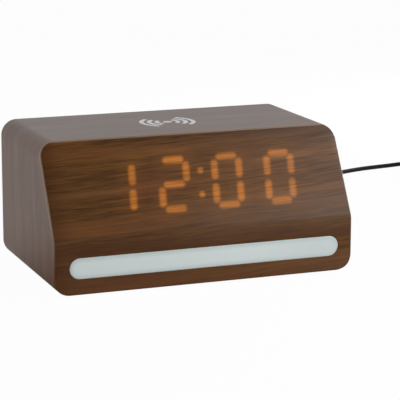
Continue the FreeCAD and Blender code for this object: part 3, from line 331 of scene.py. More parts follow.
def walnut(printed, offset=(0.0, 0.0, 0.0), turn=0.0):
    """Outputs of the walnut print at a place on the film."""
    turns = (0.0, 0.0, turn)
    place = put("ShaderNodeMapping", {"Vector": printed, "Location": offset, "Rotation": turns})
    return put("ShaderNodeGroup", {"Place": place}, node_tree=walnut_print).node.outputs


def charging_mark(place):
    """White print on the top over the coil: a dot with three short arcs on each side."""
    axes = split(place)
    distance = flat_length(axes["X"], minus(axes["Y"], charge_place.y * mm))
    beside = calc("DIVIDE", calc("ABSOLUTE", axes["X"]), calc("MAXIMUM", distance, 1e-5))
    arcs = 0.0
    for radius in mark_arc_radii:
        arcs = plus(arcs, ring_span(distance, (radius - mark_arc_half_width) * mm,
                                    (radius + mark_arc_half_width) * mm, mark_arc_softness * mm))
    arcs = times(arcs, spread(beside, *mark_opening))
    dot = spread(distance, (mark_dot_radius - mark_dot_softness) * mm,
                 (mark_dot_radius + mark_dot_softness) * mm, 1.0, 0.0)
    on_top = spread(axes["Z"], (case_high - 0.2) * mm, (case_high - 0.1) * mm)
    return times(plus(dot, arcs), on_top)


walnut_print = walnut_group()
band_material, place = new_material("walnut_wrap")
wood = walnut(print_place(band_material), (0.0, 0.0, 0.35))
axes = split(place)
# The top is painted grey-brown: a painted sheen standing in for the grey gloss on the top.
on_top = spread(axes["Z"], (case_high - 2.0) * mm, case_high * mm, 0.0, 0.42)
behind_skin = minus(axes["Y"], skin_y * mm)
under_slope = minus(times(behind_skin, math.cos(lean)),
                    times(minus(axes["Z"], crease_z * mm), math.sin(lean)))
behind_front = calc("MINIMUM", behind_skin, under_slope)
# Warmer brown near the front edge and low on the band is painted shade: it stands for less grey sheen
# there.
painted_shade_warm = calc("MAXIMUM", spread(behind_front, 0.002, 0.012, 0.30, 0.0),
            spread(axes["Z"], 0.0, 0.05, 0.20, 0.0))
# A pale rim along the front edge, fading out low down, is a painted highlight on the rounded edge.
painted_rim_highlight = times(spread(behind_front, 0.0012, 0.0018, 1.0, 0.0), spread(axes["Z"], 0.004, 0.045))
band_colour = coated(wood["Colour"], (0.45, band_brown), (on_top, band_top_painted_sheen),
                     (charging_mark(place), mark_white), (painted_shade_warm, band_painted_shade_warm), (painted_rim_highlight, band_painted_rim_highlight))
band_rough = plus(0.36, times(wood["Darkness"], 0.06))
surface(band_colour, band_rough, wood["Relief"], 0.000012, IOR=1.35)

rings = [(case_wall, band_depth, None)]
rings += [(inset, band_depth + depth, None)
          for inset, depth in quarter_round(band_front_edge, front_edge_steps)]
rings += [(inset, None, case_rear_y - depth)
          for depth, inset in quarter_round(band_rear_edge, rear_edge_steps)]
rings.append((case_wall, None, case_rear_y))
points = []
for inset, depth, y in rings:
    outline = rounded_outline(case_half_width - inset, case_low + inset, case_high - inset,
                              case_corner - inset, corner_steps, bend_levels())
    for x, z, along in outline:
        points.append((x, front_surface_y(z, depth) if y is None else y, z))
outer = rounded_outline(case_half_width, case_low, case_high, case_corner, corner_steps, bend_levels())
around = len(outer)
total = outer[-1][2] + abs(outer[-1][0])
case_band = mesh_piece("walnut_band", points, strips(len(rings), around, closed=True))
mesh = case_band.data
attribute = mesh.attributes.new("grain", "FLOAT_VECTOR", "CORNER")
for polygon in mesh.polygons:
    last_column = polygon.vertices[0] % around == around - 1
    for corner in polygon.loop_indices:
        vertex = mesh.loops[corner].vertex_index
        column = vertex % around
        along = total if last_column and column == 0 else outer[column][2]
        attribute.data[corner].vector = (along * mm, mesh.vertices[vertex].co.y, 0.0)
bpy.ops.mesh.primitive_cylinder_add(
    vertices=pocket_sides, radius=pocket_radius * mm, depth=pocket_cut_height * mm,
    location=(0.0, charge_place.y * mm, (pocket_top - pocket_cut_height / 2.0) * mm))
pocket = bpy.context.object
cut = case_band.modifiers.new("pocket", "BOOLEAN")
cut.object = pocket
cut.solver = "EXACT"
bake_modifiers(case_band)
bpy.data.objects.remove(pocket)
case_band.data.materials.clear()
case_band.data.materials.append(band_material)
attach(case_band, "root")
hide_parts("case_band")


# Front film
# One sheet of printed film covers the whole bent front and is cut out only for the light bar. The
# digits behind it shine through the print, which stays visible over them.
film_inset = 0.8
film_corner = 7.1
film_thickness = 0.3
lamp_half_length = 79.4
lamp_half_height = 5.95
lamp_centre_z = 16.0
round_end_steps = 20
slot_gap = 0.15
faces_inside_with_holes = 5
time_shown = "1200"
digit_centres = (-46.0, -14.4, 17.2, 48.8)
digit_up = 27.0
bar_reach = 7.3
bar_rise = 14.0
bar_half = 2.15
bar_round = 2.05
level_bar_half_length = 6.3
upright_bar_half_length = 5.85
digit_slant = math.tan(math.radians(6.0))
colon_x = 1.4
colon_rise = 7.0
colon_radius = 1.85
film_pale = (0.210, 0.0790, 0.0220)
film_dark = (0.055, 0.0165, 0.0030)
film_red = (0.080, 0.0180, 0.0015)
film_painted_sheen = (0.145, 0.092, 0.060)
film_lit = (0.20, 0.08, 0.02)
shine_amber = (0.365, 0.110, 0.010)
lit_level = {"1": (), "2": (-1, 0, 1), "0": (-1, 1)}
lit_upright = {"1": ((1, -1), (1, 1)), "2": ((-1, -1), (1, 1)),
               "0": ((-1, -1), (-1, 1), (1, -1), (1, 1))}


def stadium_outline(half_length, half_height, centre_z):
    """Bar with round ends as (x, z) points."""
    points = []
    reach = half_length - half_height
    for side, start in ((1, -90.0), (-1, 90.0)):
        for step in range(round_end_steps + 1):
            angle = math.radians(start + 180.0 * step / round_end_steps)
            points.append((side * reach + half_height * math.cos(angle),
                           centre_z + half_height * math.sin(angle)))
    return points


def up_the_front(z):
    """Distance up the front from its crease, negative below it, in millimetres."""
    return (z - crease_z) / math.cos(lean) if z > crease_z else z - crease_z


def lit_bar_group():
    """Distance in millimetres from the edge of one rounded bar of a digit, negative inside it."""
    names = ("Across", "Up", "Centre across", "Centre up", "Half length", "Upright")
    group, given = new_group("lit_bar", dict.fromkeys(names, "Float"), {"Distance": "Float"})
    across = calc("ABSOLUTE", minus(given["Across"], given["Centre across"]))
    up = calc("ABSOLUTE", minus(given["Up"], given["Centre up"]))
    gap = times(minus(up, across), given["Upright"])
    along = plus(across, gap)
    beside = minus(up, gap)
    past_end = minus(along, minus(given["Half length"], bar_round))
    past_side = minus(beside, bar_half - bar_round)
    outside = flat_length(calc("MAXIMUM", past_end, 0.0), calc("MAXIMUM", past_side, 0.0))
    inside = calc("MINIMUM", calc("MAXIMUM", past_end, past_side), 0.0)
    distance = minus(plus(outside, inside), bar_round)
    put("NodeGroupOutput", {"Distance": distance})
    return group


def shine_distance(printed):
    """Distance in millimetres on the film from the nearest lit bar or dot of the time."""
    lit_bar = lit_bar_group()
    axes = split(printed)
    up = minus(times(axes["Y"], 1000.0), digit_up)
    across = minus(times(axes["X"], 1000.0), times(up, digit_slant))
    nearest = 100.0
    bars = []
    for centre, figure in zip(digit_centres, time_shown):
        bars += [(centre, rise * bar_rise, level_bar_half_length, 0.0) for rise in lit_level[figure]]
        bars += [(centre + side * bar_reach, rise * bar_rise / 2.0, upright_bar_half_length, 1.0)
                 for side, rise in lit_upright[figure]]
    for centre_across, centre_up, half_length, upright in bars:
        distance = put("ShaderNodeGroup",
                       {"Across": across, "Up": up, "Centre across": centre_across,
                        "Centre up": centre_up, "Half length": half_length, "Upright": upright},
                       node_tree=lit_bar)
        nearest = calc("MINIMUM", nearest, distance)
    for rise in (-colon_rise, colon_rise):
        reach = flat_length(minus(across, colon_x), minus(up, rise))
        nearest = calc("MINIMUM", nearest, minus(reach, colon_radius))
    return nearest


def figured_with_painted_sheen(colour, printed):
    """Broad darker and paler print bands by distance up the front in millimetres, and painted sheen."""
    drift = times(grain(printed, (9.0, 30.0, 1.0), 1.0), 0.012)
    axes = split(printed)
    x = axes["X"]
    up = times(plus(axes["Y"], drift), 1000.0)
    foot = spread(up, -17.0, -11.0, 1.0, 0.0)
    pale_foot = times(foot, spread(x, 0.0, 0.08, 0.40, 0.25))
    pale_crease = times(ring_span(up, 7.0, 17.0, 3.0), spread(x, -0.06, 0.02, 0.50, 0.15))
    pale_above = times(ring_span(up, 51.0, 56.0, 2.0), spread(x, -0.02, 0.06, 0.40, 0.0))
    pale = plus(pale_foot, plus(pale_crease, pale_above))
    dark_below = times(ring_span(up, -6.0, 4.0, 2.5), 0.42)
    dark_above = times(ring_span(up, 54.0, 70.0, 5.0), spread(x, -0.02, 0.06, 0.0, 0.55))
    dark_left = spread(x, -0.088, -0.074, 0.50, 0.0)
    dark = calc("MAXIMUM", plus(dark_below, dark_above), dark_left)
    red_foot = times(spread(up, -2.0, 4.0, 1.0, 0.0), spread(x, -0.03, 0.05, 0.30, 0.05))
    # A grey veil above the crease and at the foot, growing to the right, is a painted sheen.
    painted_sheen = times(ring_span(up, 2.0, 22.0, 6.0), spread(x, -0.04, 0.02, 0.0, 0.32))
    painted_foot_sheen = times(foot, spread(x, 0.0, 0.08, 0.05, 0.14))
    return coated(colour, (pale, film_pale), (dark, film_dark), (red_foot, film_red),
                  (calc("MAXIMUM", painted_sheen, painted_foot_sheen), film_painted_sheen))


film_material, place = new_material("walnut_film")
printed = print_place(film_material)
wood = walnut(printed, turn=-0.05)
distance = shine_distance(printed)
lit = spread(distance, -1.5, 1.0, 1.0, 0.0)
halo = spread(distance, 0.0, 12.0, 0.075, 0.0)
through = spread(wood["Darkness"], 0.15, 0.85, 1.0, 0.55)
dimmer = spread(split(place)["X"], -0.02, 0.06, 1.0, 0.86)
strength = times(times(plus(lit, halo), through), dimmer)
film_colour = tint(times(lit, 0.3), figured_with_painted_sheen(wood["Colour"], printed), film_lit)
film_rough = plus(0.32, times(wood["Darkness"], 0.08))
surface(film_colour, film_rough, wood["Relief"], 0.00002, IOR=1.36,
        Emission_Color=shine_amber, Emission_Strength=strength)

half = case_half_width - film_inset
outline = [(x, z) for x, z, along in rounded_outline(
    half, case_low + film_inset, case_high - film_inset, film_corner, corner_steps, bend_levels())]
slot = stadium_outline(lamp_half_length + slot_gap, lamp_half_height + slot_gap, lamp_centre_z)
flat_points = [Vector(point) for point in outline + slot]
edges = [(index, (index + 1) % len(outline)) for index in range(len(outline))]
edges += [(len(outline) + index, len(outline) + (index + 1) % len(slot)) for index in range(len(slot))]
for level in bend_levels():
    flat_points += [Vector((-half, level)), Vector((half, level))]
    edges.append((len(flat_points) - 2, len(flat_points) - 1))
cut_out = delaunay_2d_cdt(flat_points, edges, [], faces_inside_with_holes, 1e-5)
points = [(x, front_surface_y(z, 0.0), z) for x, z in cut_out[0]]
front_film = mesh_piece("walnut_film", points, cut_out[2])
shell = front_film.modifiers.new("thickness", "SOLIDIFY")
shell.thickness = film_thickness * mm
shell.offset = -1.0
bake_modifiers(front_film)
attribute = front_film.data.attributes.new("grain", "FLOAT_VECTOR", "POINT")
for vertex, value in zip(front_film.data.vertices, attribute.data):
    value.vector = (vertex.co.x, up_the_front(vertex.co.z / mm) * mm, 0.0)
front_film.data.materials.append(film_material)
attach(front_film, "root")
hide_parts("front_film")


# Light bar
# A milky moulded bar fills the slot in the front. Its front edge is rounded, it stands a little
# proud of the film, and a flange behind the board keeps it in.
lamp_proud_y = -52.0
lamp_edge = 0.9
lamp_edge_steps = 6
lamp_flange = 2.0
lamp_flange_y = -46.3
lamp_back_y = -44.8
milk_middle = (0.780, 0.865, 0.850)
milk_edge = (0.600, 0.700, 0.680)
milk_cloud = (0.80, 0.84, 0.83)
milk_right = (0.600, 0.680, 0.672)


def lofted(name, loops, material):
    """Closed shape through loops of equally many points, with flat ends."""
    count = len(loops[0])
    last = (len(loops) - 1) * count
    faces = strips(len(loops), count)
    faces += [tuple(reversed(range(count))), tuple(range(last, last + count))]
    piece = mesh_piece(name, [point for loop in loops for point in loop], faces)
    shape = bmesh.new()
    shape.from_mesh(piece.data)
    bmesh.ops.recalc_face_normals(shape, faces=shape.faces)
    shape.to_mesh(piece.data)
    shape.free()
    bake_modifiers(piece).data.materials.append(material)
    return piece


def lamp_loop(grow, y):
    """Outline of the light bar, grown by an amount, at a depth."""
    outline = stadium_outline(lamp_half_length + grow, lamp_half_height + grow, lamp_centre_z)
    return [(x, y, z) for x, z in outline]


lamp_material, place = new_material("milky_bar")
axes = split(place)
past_middle = minus(calc("ABSOLUTE", axes["X"]), (lamp_half_length - lamp_half_height) * mm)
from_middle = flat_length(calc("MAXIMUM", past_middle, 0.0), minus(axes["Z"], lamp_centre_z * mm))
cloud = grain(place, (60.0, 60.0, 120.0))
to_edge = spread(from_middle, 0.0025, 0.0058)
to_right = spread(axes["X"], 0.02, 0.075, 0.0, 0.55)
milk = coated(tint(to_edge, milk_middle, milk_edge), (times(cloud, 0.12), milk_cloud),
              (to_right, milk_right))
surface(milk, plus(0.30, times(cloud, 0.1)), grain(place, 3000.0, 2.0), 0.000006, IOR=1.49)
loops = [lamp_loop(-inset, lamp_proud_y + depth)
         for inset, depth in quarter_round(lamp_edge, lamp_edge_steps)]
loops += [lamp_loop(0.0, lamp_flange_y), lamp_loop(lamp_flange, lamp_flange_y),
          lamp_loop(lamp_flange, lamp_back_y)]
light_bar = lofted("light_bar", loops, lamp_material)
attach(light_bar, "root")
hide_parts("lamp_diffuser")


# Boards and blocks inside the case
# The bent front board and the four corner blocks are pressed fibre board, glued into the band. Their
# faces are a felt of fine fibres.
fibre_dark = (0.165, 0.098, 0.052)
fibre_pale = (0.330, 0.215, 0.125)
fibre_smudge = (0.24, 0.15, 0.085)


def dress(material, *nodes):
    """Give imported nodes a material."""
    for name in nodes:
        for place in frame["nodes"][name].material_slots:
            place.material = material


fibre_material, place = new_material("pressed_fibre")
felt = grain(place, (900.0, 2600.0, 900.0), 4.0, 0.7)
fibre = tint(spread(felt, 0.3, 0.7), fibre_dark, fibre_pale)
fibre = tint(times(grain(place, 60.0), 0.35), fibre, fibre_smudge)
surface(fibre, spread(felt, 0.2, 0.8, 0.78, 0.92), felt, 0.00006, IOR=1.45)
dress(fibre_material, "front_board", "corner_blocks")


# Feet
# Four thin rubber pads are glued under the case, one near each corner, and keep it off the table.
# Each is a moulded disc with a softened lower edge.
foot_sizes = {"Radius": 6.0, "Edge": 0.3, "Height": 1.2, "Span across": 144.0, "Span deep": 76.0}
foot_sides = 56


def clouded(name, dark, light, cloud_scale, cloud_range, fine_noise, rough_range, relief, **shader):
    """Material with two colours mixed by a slow cloud, its roughness and relief from a fine noise."""
    material, place = new_material(name)
    cloud = grain(place, cloud_scale)
    if cloud_range:
        cloud = spread(cloud, *cloud_range)
    fine = grain(place, *fine_noise)
    surface(tint(cloud, dark, light), spread(fine, *rough_range), fine, relief, **shader)
    return material


def shape_tree(name, sizes):
    """Geometry tree with named sizes, a place and a finish, and the sockets that give them."""
    inputs = {**dict.fromkeys(sizes, "Float"), "Place": "Vector", "Finish": "Material"}
    return new_group(name, inputs, {"Geometry": "Geometry"}, "GeometryNodeTree")


def close_shape(given, geometry):
    """Move a shape to its place, realise its instances and give it its finish."""
    moved = put("GeometryNodeTransform", {"Geometry": geometry, "Translation": given["Place"]})
    real = put("GeometryNodeRealizeInstances", {0: moved})
    smooth = put("GeometryNodeSetShadeSmooth", {"Geometry": real, "Shade Smooth": True})
    finished = put("GeometryNodeSetMaterial", {"Geometry": smooth, "Material": given["Finish"]})
    put("NodeGroupOutput", {"Geometry": finished})


def grown(name, tree, finish, place, sizes, **counts):
    """Plain mesh piece from a tree, its place and sizes in millimetres and its counts as they are."""
    piece = new_object(name, bpy.data.meshes.new(name))
    grower = piece.modifiers.new(name, "NODES")
    grower.node_group = tree
    values = {key: size * mm for key, size in sizes.items()}
    values.update(counts, Place=[value * mm for value in place], Finish=finish)
    for item in tree.interface.items_tree:
        if item.in_out == "INPUT":
            grower[item.identifier] = values[item.name]
    bake_modifiers(piece, even=False)
    piece.data.set_sharp_from_angle(angle=smooth_angle)
    return piece


def four_corners(across, along):
    """Points at the corners of a rectangle."""
    return put("GeometryNodeMeshGrid",
               {"Size X": across, "Size Y": along, "Vertices X": 2, "Vertices Y": 2})


def raised(shape, height):
    """A shape moved up by a height."""
    lift = put("ShaderNodeCombineXYZ", {"Z": height})
    return put("GeometryNodeTransform", {"Geometry": shape, "Translation": lift})


def joined(first, *others):
    """Several shapes as one."""
    join = put("GeometryNodeJoinGeometry", {0: first})
    for other in others:
        join.id_data.links.new(other, join.node.inputs[0])
    return join


def stepped_disc(outer, edge, height, sides):
    """Closed disc that stands on nought, its lower edge cut back by an edge's width and height."""
    inner = minus(outer, edge)
    low = put("GeometryNodeMeshCone",
              {"Vertices": sides, "Radius Top": outer, "Radius Bottom": inner, "Depth": edge},
              fill_type="NONE")
    wall = put("GeometryNodeMeshCylinder",
               {"Vertices": sides, "Radius": outer, "Depth": minus(height, edge)}, fill_type="NONE")
    wall = raised(wall, times(plus(height, edge), 0.5))
    base, lid = (put("GeometryNodeMeshCircle", {"Vertices": sides, "Radius": radius}, fill_type="NGON")
                 for radius in (inner, outer))
    whole = joined(low, wall, put("GeometryNodeFlipFaces", {0: base}), raised(lid, height))
    return put("GeometryNodeMergeByDistance", {0: whole, "Distance": 1e-6})


rubber_material = clouded("foot_rubber", (0.018, 0.018, 0.019), (0.045, 0.043, 0.041), 160.0,
                          (0.45, 0.75), (1400.0, 3.0, 0.6), (0.2, 0.8, 0.72, 0.88), 0.00003, IOR=1.5)
tree, given = shape_tree("foot_pads", foot_sizes)
pad = stepped_disc(given["Radius"], given["Edge"], given["Height"], foot_sides)
corners = four_corners(given["Span across"], given["Span deep"])
close_shape(given, put("GeometryNodeInstanceOnPoints", {"Points": corners, "Instance": pad}))
feet = grown("rubber_feet", tree, rubber_material, (0.0, 0.0, 0.0), foot_sizes)
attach(feet, "root")
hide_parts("feet")


# Plastic and metal parts
# White moulded blocks hold the lamps behind the light bar and the digits. The cover and the parts
# that hold the cell, the coil and the switches are black, and the screws and contacts are plated.
def moulded(name, dark, light, rough, texture, relief):
    """Moulded plastic: a slow cloud in its colour and a fine spark texture on its face."""
    return clouded(name, dark, light, 70.0, (0.35, 0.68), (texture, 3.0, 0.6),
                   (0.25, 0.75, rough - 0.06, rough + 0.08), relief, IOR=1.46)


def plated(name, dark, light, rough, along):
    """Plated metal with the fine lines of its turning or drawing."""
    return clouded(name, dark, light, 220.0, (0.35, 0.7), (along, 3.0, 0.6),
                   (0.25, 0.75, rough - 0.08, rough + 0.10), 0.000004, Metallic=1.0)


white_plastic = moulded("white_plastic", (0.62, 0.62, 0.60), (0.74, 0.74, 0.72), 0.45, 2400.0, 0.00001)
chip_plastic = moulded("chip_black", (0.012, 0.012, 0.013), (0.030, 0.030, 0.031), 0.50, 3200.0,
                       0.00001)
cover_plastic = moulded("cover_black", (0.022, 0.022, 0.023), (0.034, 0.034, 0.035), 0.52, 2100.0,
                        0.00003)
steel = plated("screw_steel", (0.42, 0.42, 0.42), (0.60, 0.60, 0.60), 0.34, (300.0, 300.0, 3200.0))
nickel = plated("nickel_plate", (0.58, 0.56, 0.52), (0.72, 0.70, 0.66), 0.26, (2600.0, 300.0, 300.0))
amber = clouded("amber_caps", (0.62, 0.36, 0.14), (0.78, 0.52, 0.26), 300.0, None,
                (300.0,), (0.3, 0.7, 0.35, 0.5), 0.00001, IOR=1.49)
phosphor = clouded("lamp_chips", (0.80, 0.79, 0.72), (0.80, 0.62, 0.20), 500.0, (0.4, 0.6),
                   (4000.0, 2.0), (0.3, 0.7, 0.3, 0.5), 0.00001, IOR=1.5)
dress(white_plastic, "lamp_reflector", "display_housing", "usb_tongue")
dress(chip_plastic, "main_parts", "charger_parts", "tact_switches", "buzzer", "battery_holder",
      "power_socket", "set_plunger", "up_plunger", "down_plunger", "lamp_plunger")
dress(cover_plastic, "coil_tray", "rear_cover", "battery_door")
dress(steel, "lamp_screws", "display_screws", "tray_screws", "charger_screws", "board_screws")
dress(nickel, "battery_contacts", "coin_cell", "socket_pin", "plug_barrel", "usb_shell")
dress(amber, "display_bars")
dress(phosphor, "display_leds", "lamp_leds")


# Circuit boards and flat leads
# The boards are glass fibre under green lacquer with copper tracks that stand a hair proud. Flat grey
# leads with ridged conductors join them.
lacquer_green = (0.006, 0.050, 0.020)
track_green = (0.016, 0.110, 0.045)
solder_grey = (0.55, 0.53, 0.48)
lead_dark = (0.24, 0.24, 0.25)
lead_pale = (0.36, 0.36, 0.37)


def waves(place, scale, direction, **inputs):
    """Even waves along a direction."""
    return put("ShaderNodeTexWave", {"Vector": place, "Scale": scale, **inputs},
               bands_direction=direction).node.outputs["Fac"]


green_board, place = new_material("green_board")
bent = {"Distortion": 1.5, "Detail": 1.0, "Detail Scale": 0.6}
along = waves(place, 110.0, "X", **bent)
across = waves(place, 90.0, "Z", **bent)
choice = spread(grain(place, 45.0, 1.0), 0.48, 0.52)
pick = plus(times(along, choice), times(across, minus(1.0, choice)))
track = spread(pick, 0.62, 0.72)
dots = put("ShaderNodeTexVoronoi", {"Vector": place, "Scale": 260.0}).node.outputs["Distance"]
dot = spread(dots, 0.10, 0.14, 1.0, 0.0)
colour = tint(dot, tint(track, lacquer_green, track_green), solder_grey)
surface(colour, spread(track, 0.0, 1.0, 0.42, 0.30), plus(track, dot), 0.00004, IOR=1.5)
dress(green_board, "main_board", "charger_board", "display_board", "lamp_board")

lead_material, place = new_material("flat_lead")
smudge = grain(place, 120.0)
surface(tint(smudge, lead_dark, lead_pale), spread(smudge, 0.3, 0.7, 0.45, 0.6),
        waves(place, 157.0, "X"), 0.0002, IOR=1.5)
dress(lead_material, "display_ribbon", "lamp_lead", "charger_lead")


# Charging coil
# A flat spiral of enamelled copper wire lies on a round ferrite plate, in a black tray under the
# thinned middle of the top.
charge_coil_turns = 6
charge_coil_pitch = 2.1
charge_coil_inner = 9.5
charge_coil_sizes = {"Inner radius": charge_coil_inner, "Wire radius": 0.75,
                     "Outer radius": charge_coil_inner + charge_coil_pitch * charge_coil_turns}
charge_coil_z = 77.35
charge_coil_turn_steps = 64
coil_wire_sides = 12

copper = clouded("enamelled_copper", (0.38, 0.115, 0.040), (0.62, 0.235, 0.095), 200.0, None,
                 (1800.0,), (0.3, 0.7, 0.28, 0.42), 0.00001, Metallic=0.85)
ferrite = moulded("ferrite_grey", (0.030, 0.030, 0.032), (0.060, 0.058, 0.056), 0.62, 1500.0, 0.00004)
dress(ferrite, "coil_ferrite")

tree, given = shape_tree("flat_spiral", (*charge_coil_sizes, "Turns"))
spiral = put("GeometryNodeCurveSpiral",
             {"Resolution": charge_coil_turn_steps, "Rotations": given["Turns"], "Height": 0.0,
              "Start Radius": given["Inner radius"], "End Radius": given["Outer radius"]})
wire = put("GeometryNodeCurvePrimitiveCircle",
           {"Resolution": coil_wire_sides, "Radius": given["Wire radius"]})
close_shape(given, put("GeometryNodeCurveToMesh",
                       {"Curve": spiral, "Profile Curve": wire, "Fill Caps": True}))
copper_coil = grown("copper_coil", tree, copper, (*charge_place, charge_coil_z), charge_coil_sizes,
                    Turns=charge_coil_turns)
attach(copper_coil, "root")
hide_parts("charging_coil")


# Cover screws
# Four plated steel screws hold the rear cover to the corner blocks. Their heads have cross recesses
# and are sunk in seats of the cover.
screw_sizes = {"Head radius": 2.9, "Head edge": 0.35, "Head height": 1.4, "Shank radius": 1.5,
               "Length": 13.0, "Recess width": 0.9, "Recess depth": 1.0, "Span across": 154.0,
               "Span up": 58.0}
screw_head_sides = 48
screw_shank_sides = 24
screw_shank_taper = 0.55
recess_reach = 1.15
screw_centre_z = 41.2
cover_rear_y = 50.0

tree, given = shape_tree("cross_head_screws", screw_sizes)
head = stepped_disc(given["Head radius"], given["Head edge"], given["Head height"], screw_head_sides)
reach = times(given["Head radius"], recess_reach)
depth = times(given["Recess depth"], 2.0)
recess = put("GeometryNodeMeshBoolean", {"Mesh 1": head}, operation="DIFFERENCE", solver="EXACT")
for x, y in ((reach, given["Recess width"]), (given["Recess width"], reach)):
    size = put("ShaderNodeCombineXYZ", {"X": x, "Y": y, "Z": depth})
    tree.links.new(put("GeometryNodeMeshCube", {"Size": size}), recess.node.inputs["Mesh 2"])
tip = times(given["Shank radius"], screw_shank_taper)
shank = put("GeometryNodeMeshCone",
            {"Vertices": screw_shank_sides, "Radius Top": tip,
             "Radius Bottom": given["Shank radius"], "Depth": given["Length"]})
screw = joined(recess, raised(shank, given["Head height"]))
corners = put("GeometryNodeTransform",
              {"Geometry": four_corners(given["Span across"], given["Span up"]),
               "Rotation": (math.radians(90.0), 0.0, 0.0)})
spin = put("FunctionNodeRandomValue", {"Max": 1.5, "Seed": 7}, tree, data_type="FLOAT")
spin = next(output for output in spin.node.outputs if output.enabled)
turn = put("ShaderNodeCombineXYZ", {"X": math.radians(90.0), "Y": spin})
close_shape(given, put("GeometryNodeInstanceOnPoints",
                       {"Points": corners, "Instance": screw, "Rotation": turn}))
cover_screws = grown("cover_screw_heads", tree, steel, (0.0, cover_rear_y, screw_centre_z), screw_sizes)
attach(cover_screws, "root")
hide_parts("cover_screws")


# Push buttons
# Four black caps stand in the rear cover, each with a dished face, a flange that keeps it in and a
# stem that reaches its switch.
button_places = {"set": -56.0, "up": -40.0, "down": -24.0, "lamp": -8.0}
button_z = 53.2
button_sides = 48
button_profile = ((51.15, 1.2), (51.2, 2.2), (51.4, 3.1), (51.4, 3.45), (51.3, 3.72), (51.1, 3.9),
                  (50.8, 4.0), (47.2, 4.0), (47.2, 5.5), (46.2, 5.5), (46.2, 1.9), (43.3, 1.9))


def turned_piece(name, profile, x, z, sides, material):
    """Piece turned about a line from front to back, from its (y, radius) profile."""
    steps = [2.0 * math.pi * index / sides for index in range(sides)]
    loops = [[(x + radius * math.cos(angle), y, z + radius * math.sin(angle)) for angle in steps]
             for y, radius in profile]
    return lofted(name, loops, material)


button_plastic = moulded("button_black", (0.034, 0.034, 0.035), (0.052, 0.052, 0.053), 0.36, 2600.0,
                         0.000012)
for key, x in button_places.items():
    cap = turned_piece(key + "_cap", button_profile, x, button_z, button_sides, button_plastic)
    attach(cap, key + "_key")
    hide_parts(key + "_button")


# Power plug
# The plug's grip is black plastic, moulded over the lead. It tapers to a stepped relief where the lead
# leaves the plug.
plug_x = 44.0
plug_z = 22.2
plug_sides = 56
relief_start_y = 69.1
relief_end_y = 79.3
relief_rings = 3
relief_pitch = 3.4
relief_radius = 2.85
relief_taper = 0.38
plug_profile = [(50.3, 3.4), (50.4, 3.75), (50.65, 4.05), (51.0, 4.2), (63.5, 4.2), (65.0, 4.08),
                (66.6, 3.86), (67.8, 3.7), (68.25, 3.5), (68.4, 3.2), (relief_start_y, 2.95)]
relief_ring = ((1.6, 0.06), (1.95, 0.16), (2.1, 0.42), (3.1, 0.48), (3.25, 0.36))
for ring in range(relief_rings):
    start = relief_start_y + relief_pitch * ring
    radius = relief_radius - relief_taper * ring
    plug_profile += [(start + along, radius - cut_back) for along, cut_back in relief_ring]
plug_profile.append((relief_end_y, 1.65))
cord_plastic = moulded("cord_black", (0.012, 0.012, 0.013), (0.024, 0.024, 0.025), 0.44, 2200.0,
                       0.00002)
plug_grip = turned_piece("plug_handle", plug_profile, plug_x, plug_z, plug_sides, cord_plastic)
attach(plug_grip, "root")
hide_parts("plug_grip")


# Cord tie
# A soft strap of hook and loop tape is wrapped once round the coil's turns, with its end pressed
# down over itself on the outer side.
tie_low = 0.25
tie_high = 16.65
tie_inner_x = 289.55
tie_outer_x = 302.15
tie_corner = 2.2
tie_corner_steps = 8
tie_y = 192.0
tie_half_width = 2.5
tie_half_thickness = 0.25
tie_lap = 12
tie_lap_lift = 2.1
tie_rises_in_each_lap = 3.0
tape_dark = (0.010, 0.010, 0.011)
tape_pale = (0.034, 0.034, 0.036)

tape, place = new_material("tie_tape")
hooks = grain(place, 2600.0, 4.0, 0.7)
weave = waves(place, 420.0, "Y", Distortion=2.0, Detail=2.0)
colour = tint(spread(hooks, 0.3, 0.7), tape_dark, tape_pale)
surface(colour, spread(hooks, 0.2, 0.8, 0.8, 0.95), plus(weave, hooks), 0.00012, IOR=1.45)
centre_x = (tie_outer_x + tie_inner_x) / 2.0
path = [(centre_x + x, z) for x, z, along in rounded_outline(
    (tie_outer_x - tie_inner_x) / 2.0, tie_low, tie_high, tie_corner, tie_corner_steps)][1:]
path += path[:tie_lap]
loops = []
for index, (x, z) in enumerate(path):
    before = path[max(index - 1, 0)]
    after = path[min(index + 1, len(path) - 1)]
    run = Vector((after[0] - before[0], after[1] - before[1])).normalized()
    part = max(0.0, index - (len(path) - tie_lap - 1)) / tie_lap
    lift = -tie_lap_lift * tie_half_thickness * min(1.0, tie_rises_in_each_lap * part)
    loops.append([(x + run.y * (side * tie_half_thickness + lift), tie_y + across,
                   z - run.x * (side * tie_half_thickness + lift))
                  for side, across in ((-1, -tie_half_width), (1, -tie_half_width),
                                       (1, tie_half_width), (-1, tie_half_width))])
cord_tie = lofted("tie_strap", loops, tape)
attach(cord_tie, "root")
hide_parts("cord_tie")


# Charging plug
# The far end of the lead has a flat moulded grip with rounded edges and a short round relief, and a
# folded metal mouth with a white tongue.
usb_x = 248.6
usb_z = 4.0
usb_half_width = 7.75
usb_half_height = 4.0
usb_corner = 2.4
usb_least_corner = 0.8
usb_corner_steps = 8
usb_sections = ((109.0, 0.5), (109.15, 0.2), (109.5, 0.0), (112.0, 0.0), (112.25, 0.25), (113.0, 0.25),
                (113.25, 0.0), (128.0, 0.0), (129.6, 0.25), (130.6, 0.8), (131.0, 1.4))
usb_relief = ((131.05, 2.6), (132.54, 2.5), (134.15, 2.3), (135.9, 2.1), (138.0, 1.8))


def grip_loop(y, width, height, radius):
    """Section of the grip: a rounded bar, or a circle where its width and height are its radius."""
    outline = rounded_outline(width, usb_z - height, usb_z + height, radius, usb_corner_steps)
    return [(usb_x + x, y, z) for x, z, along in outline[1:]]


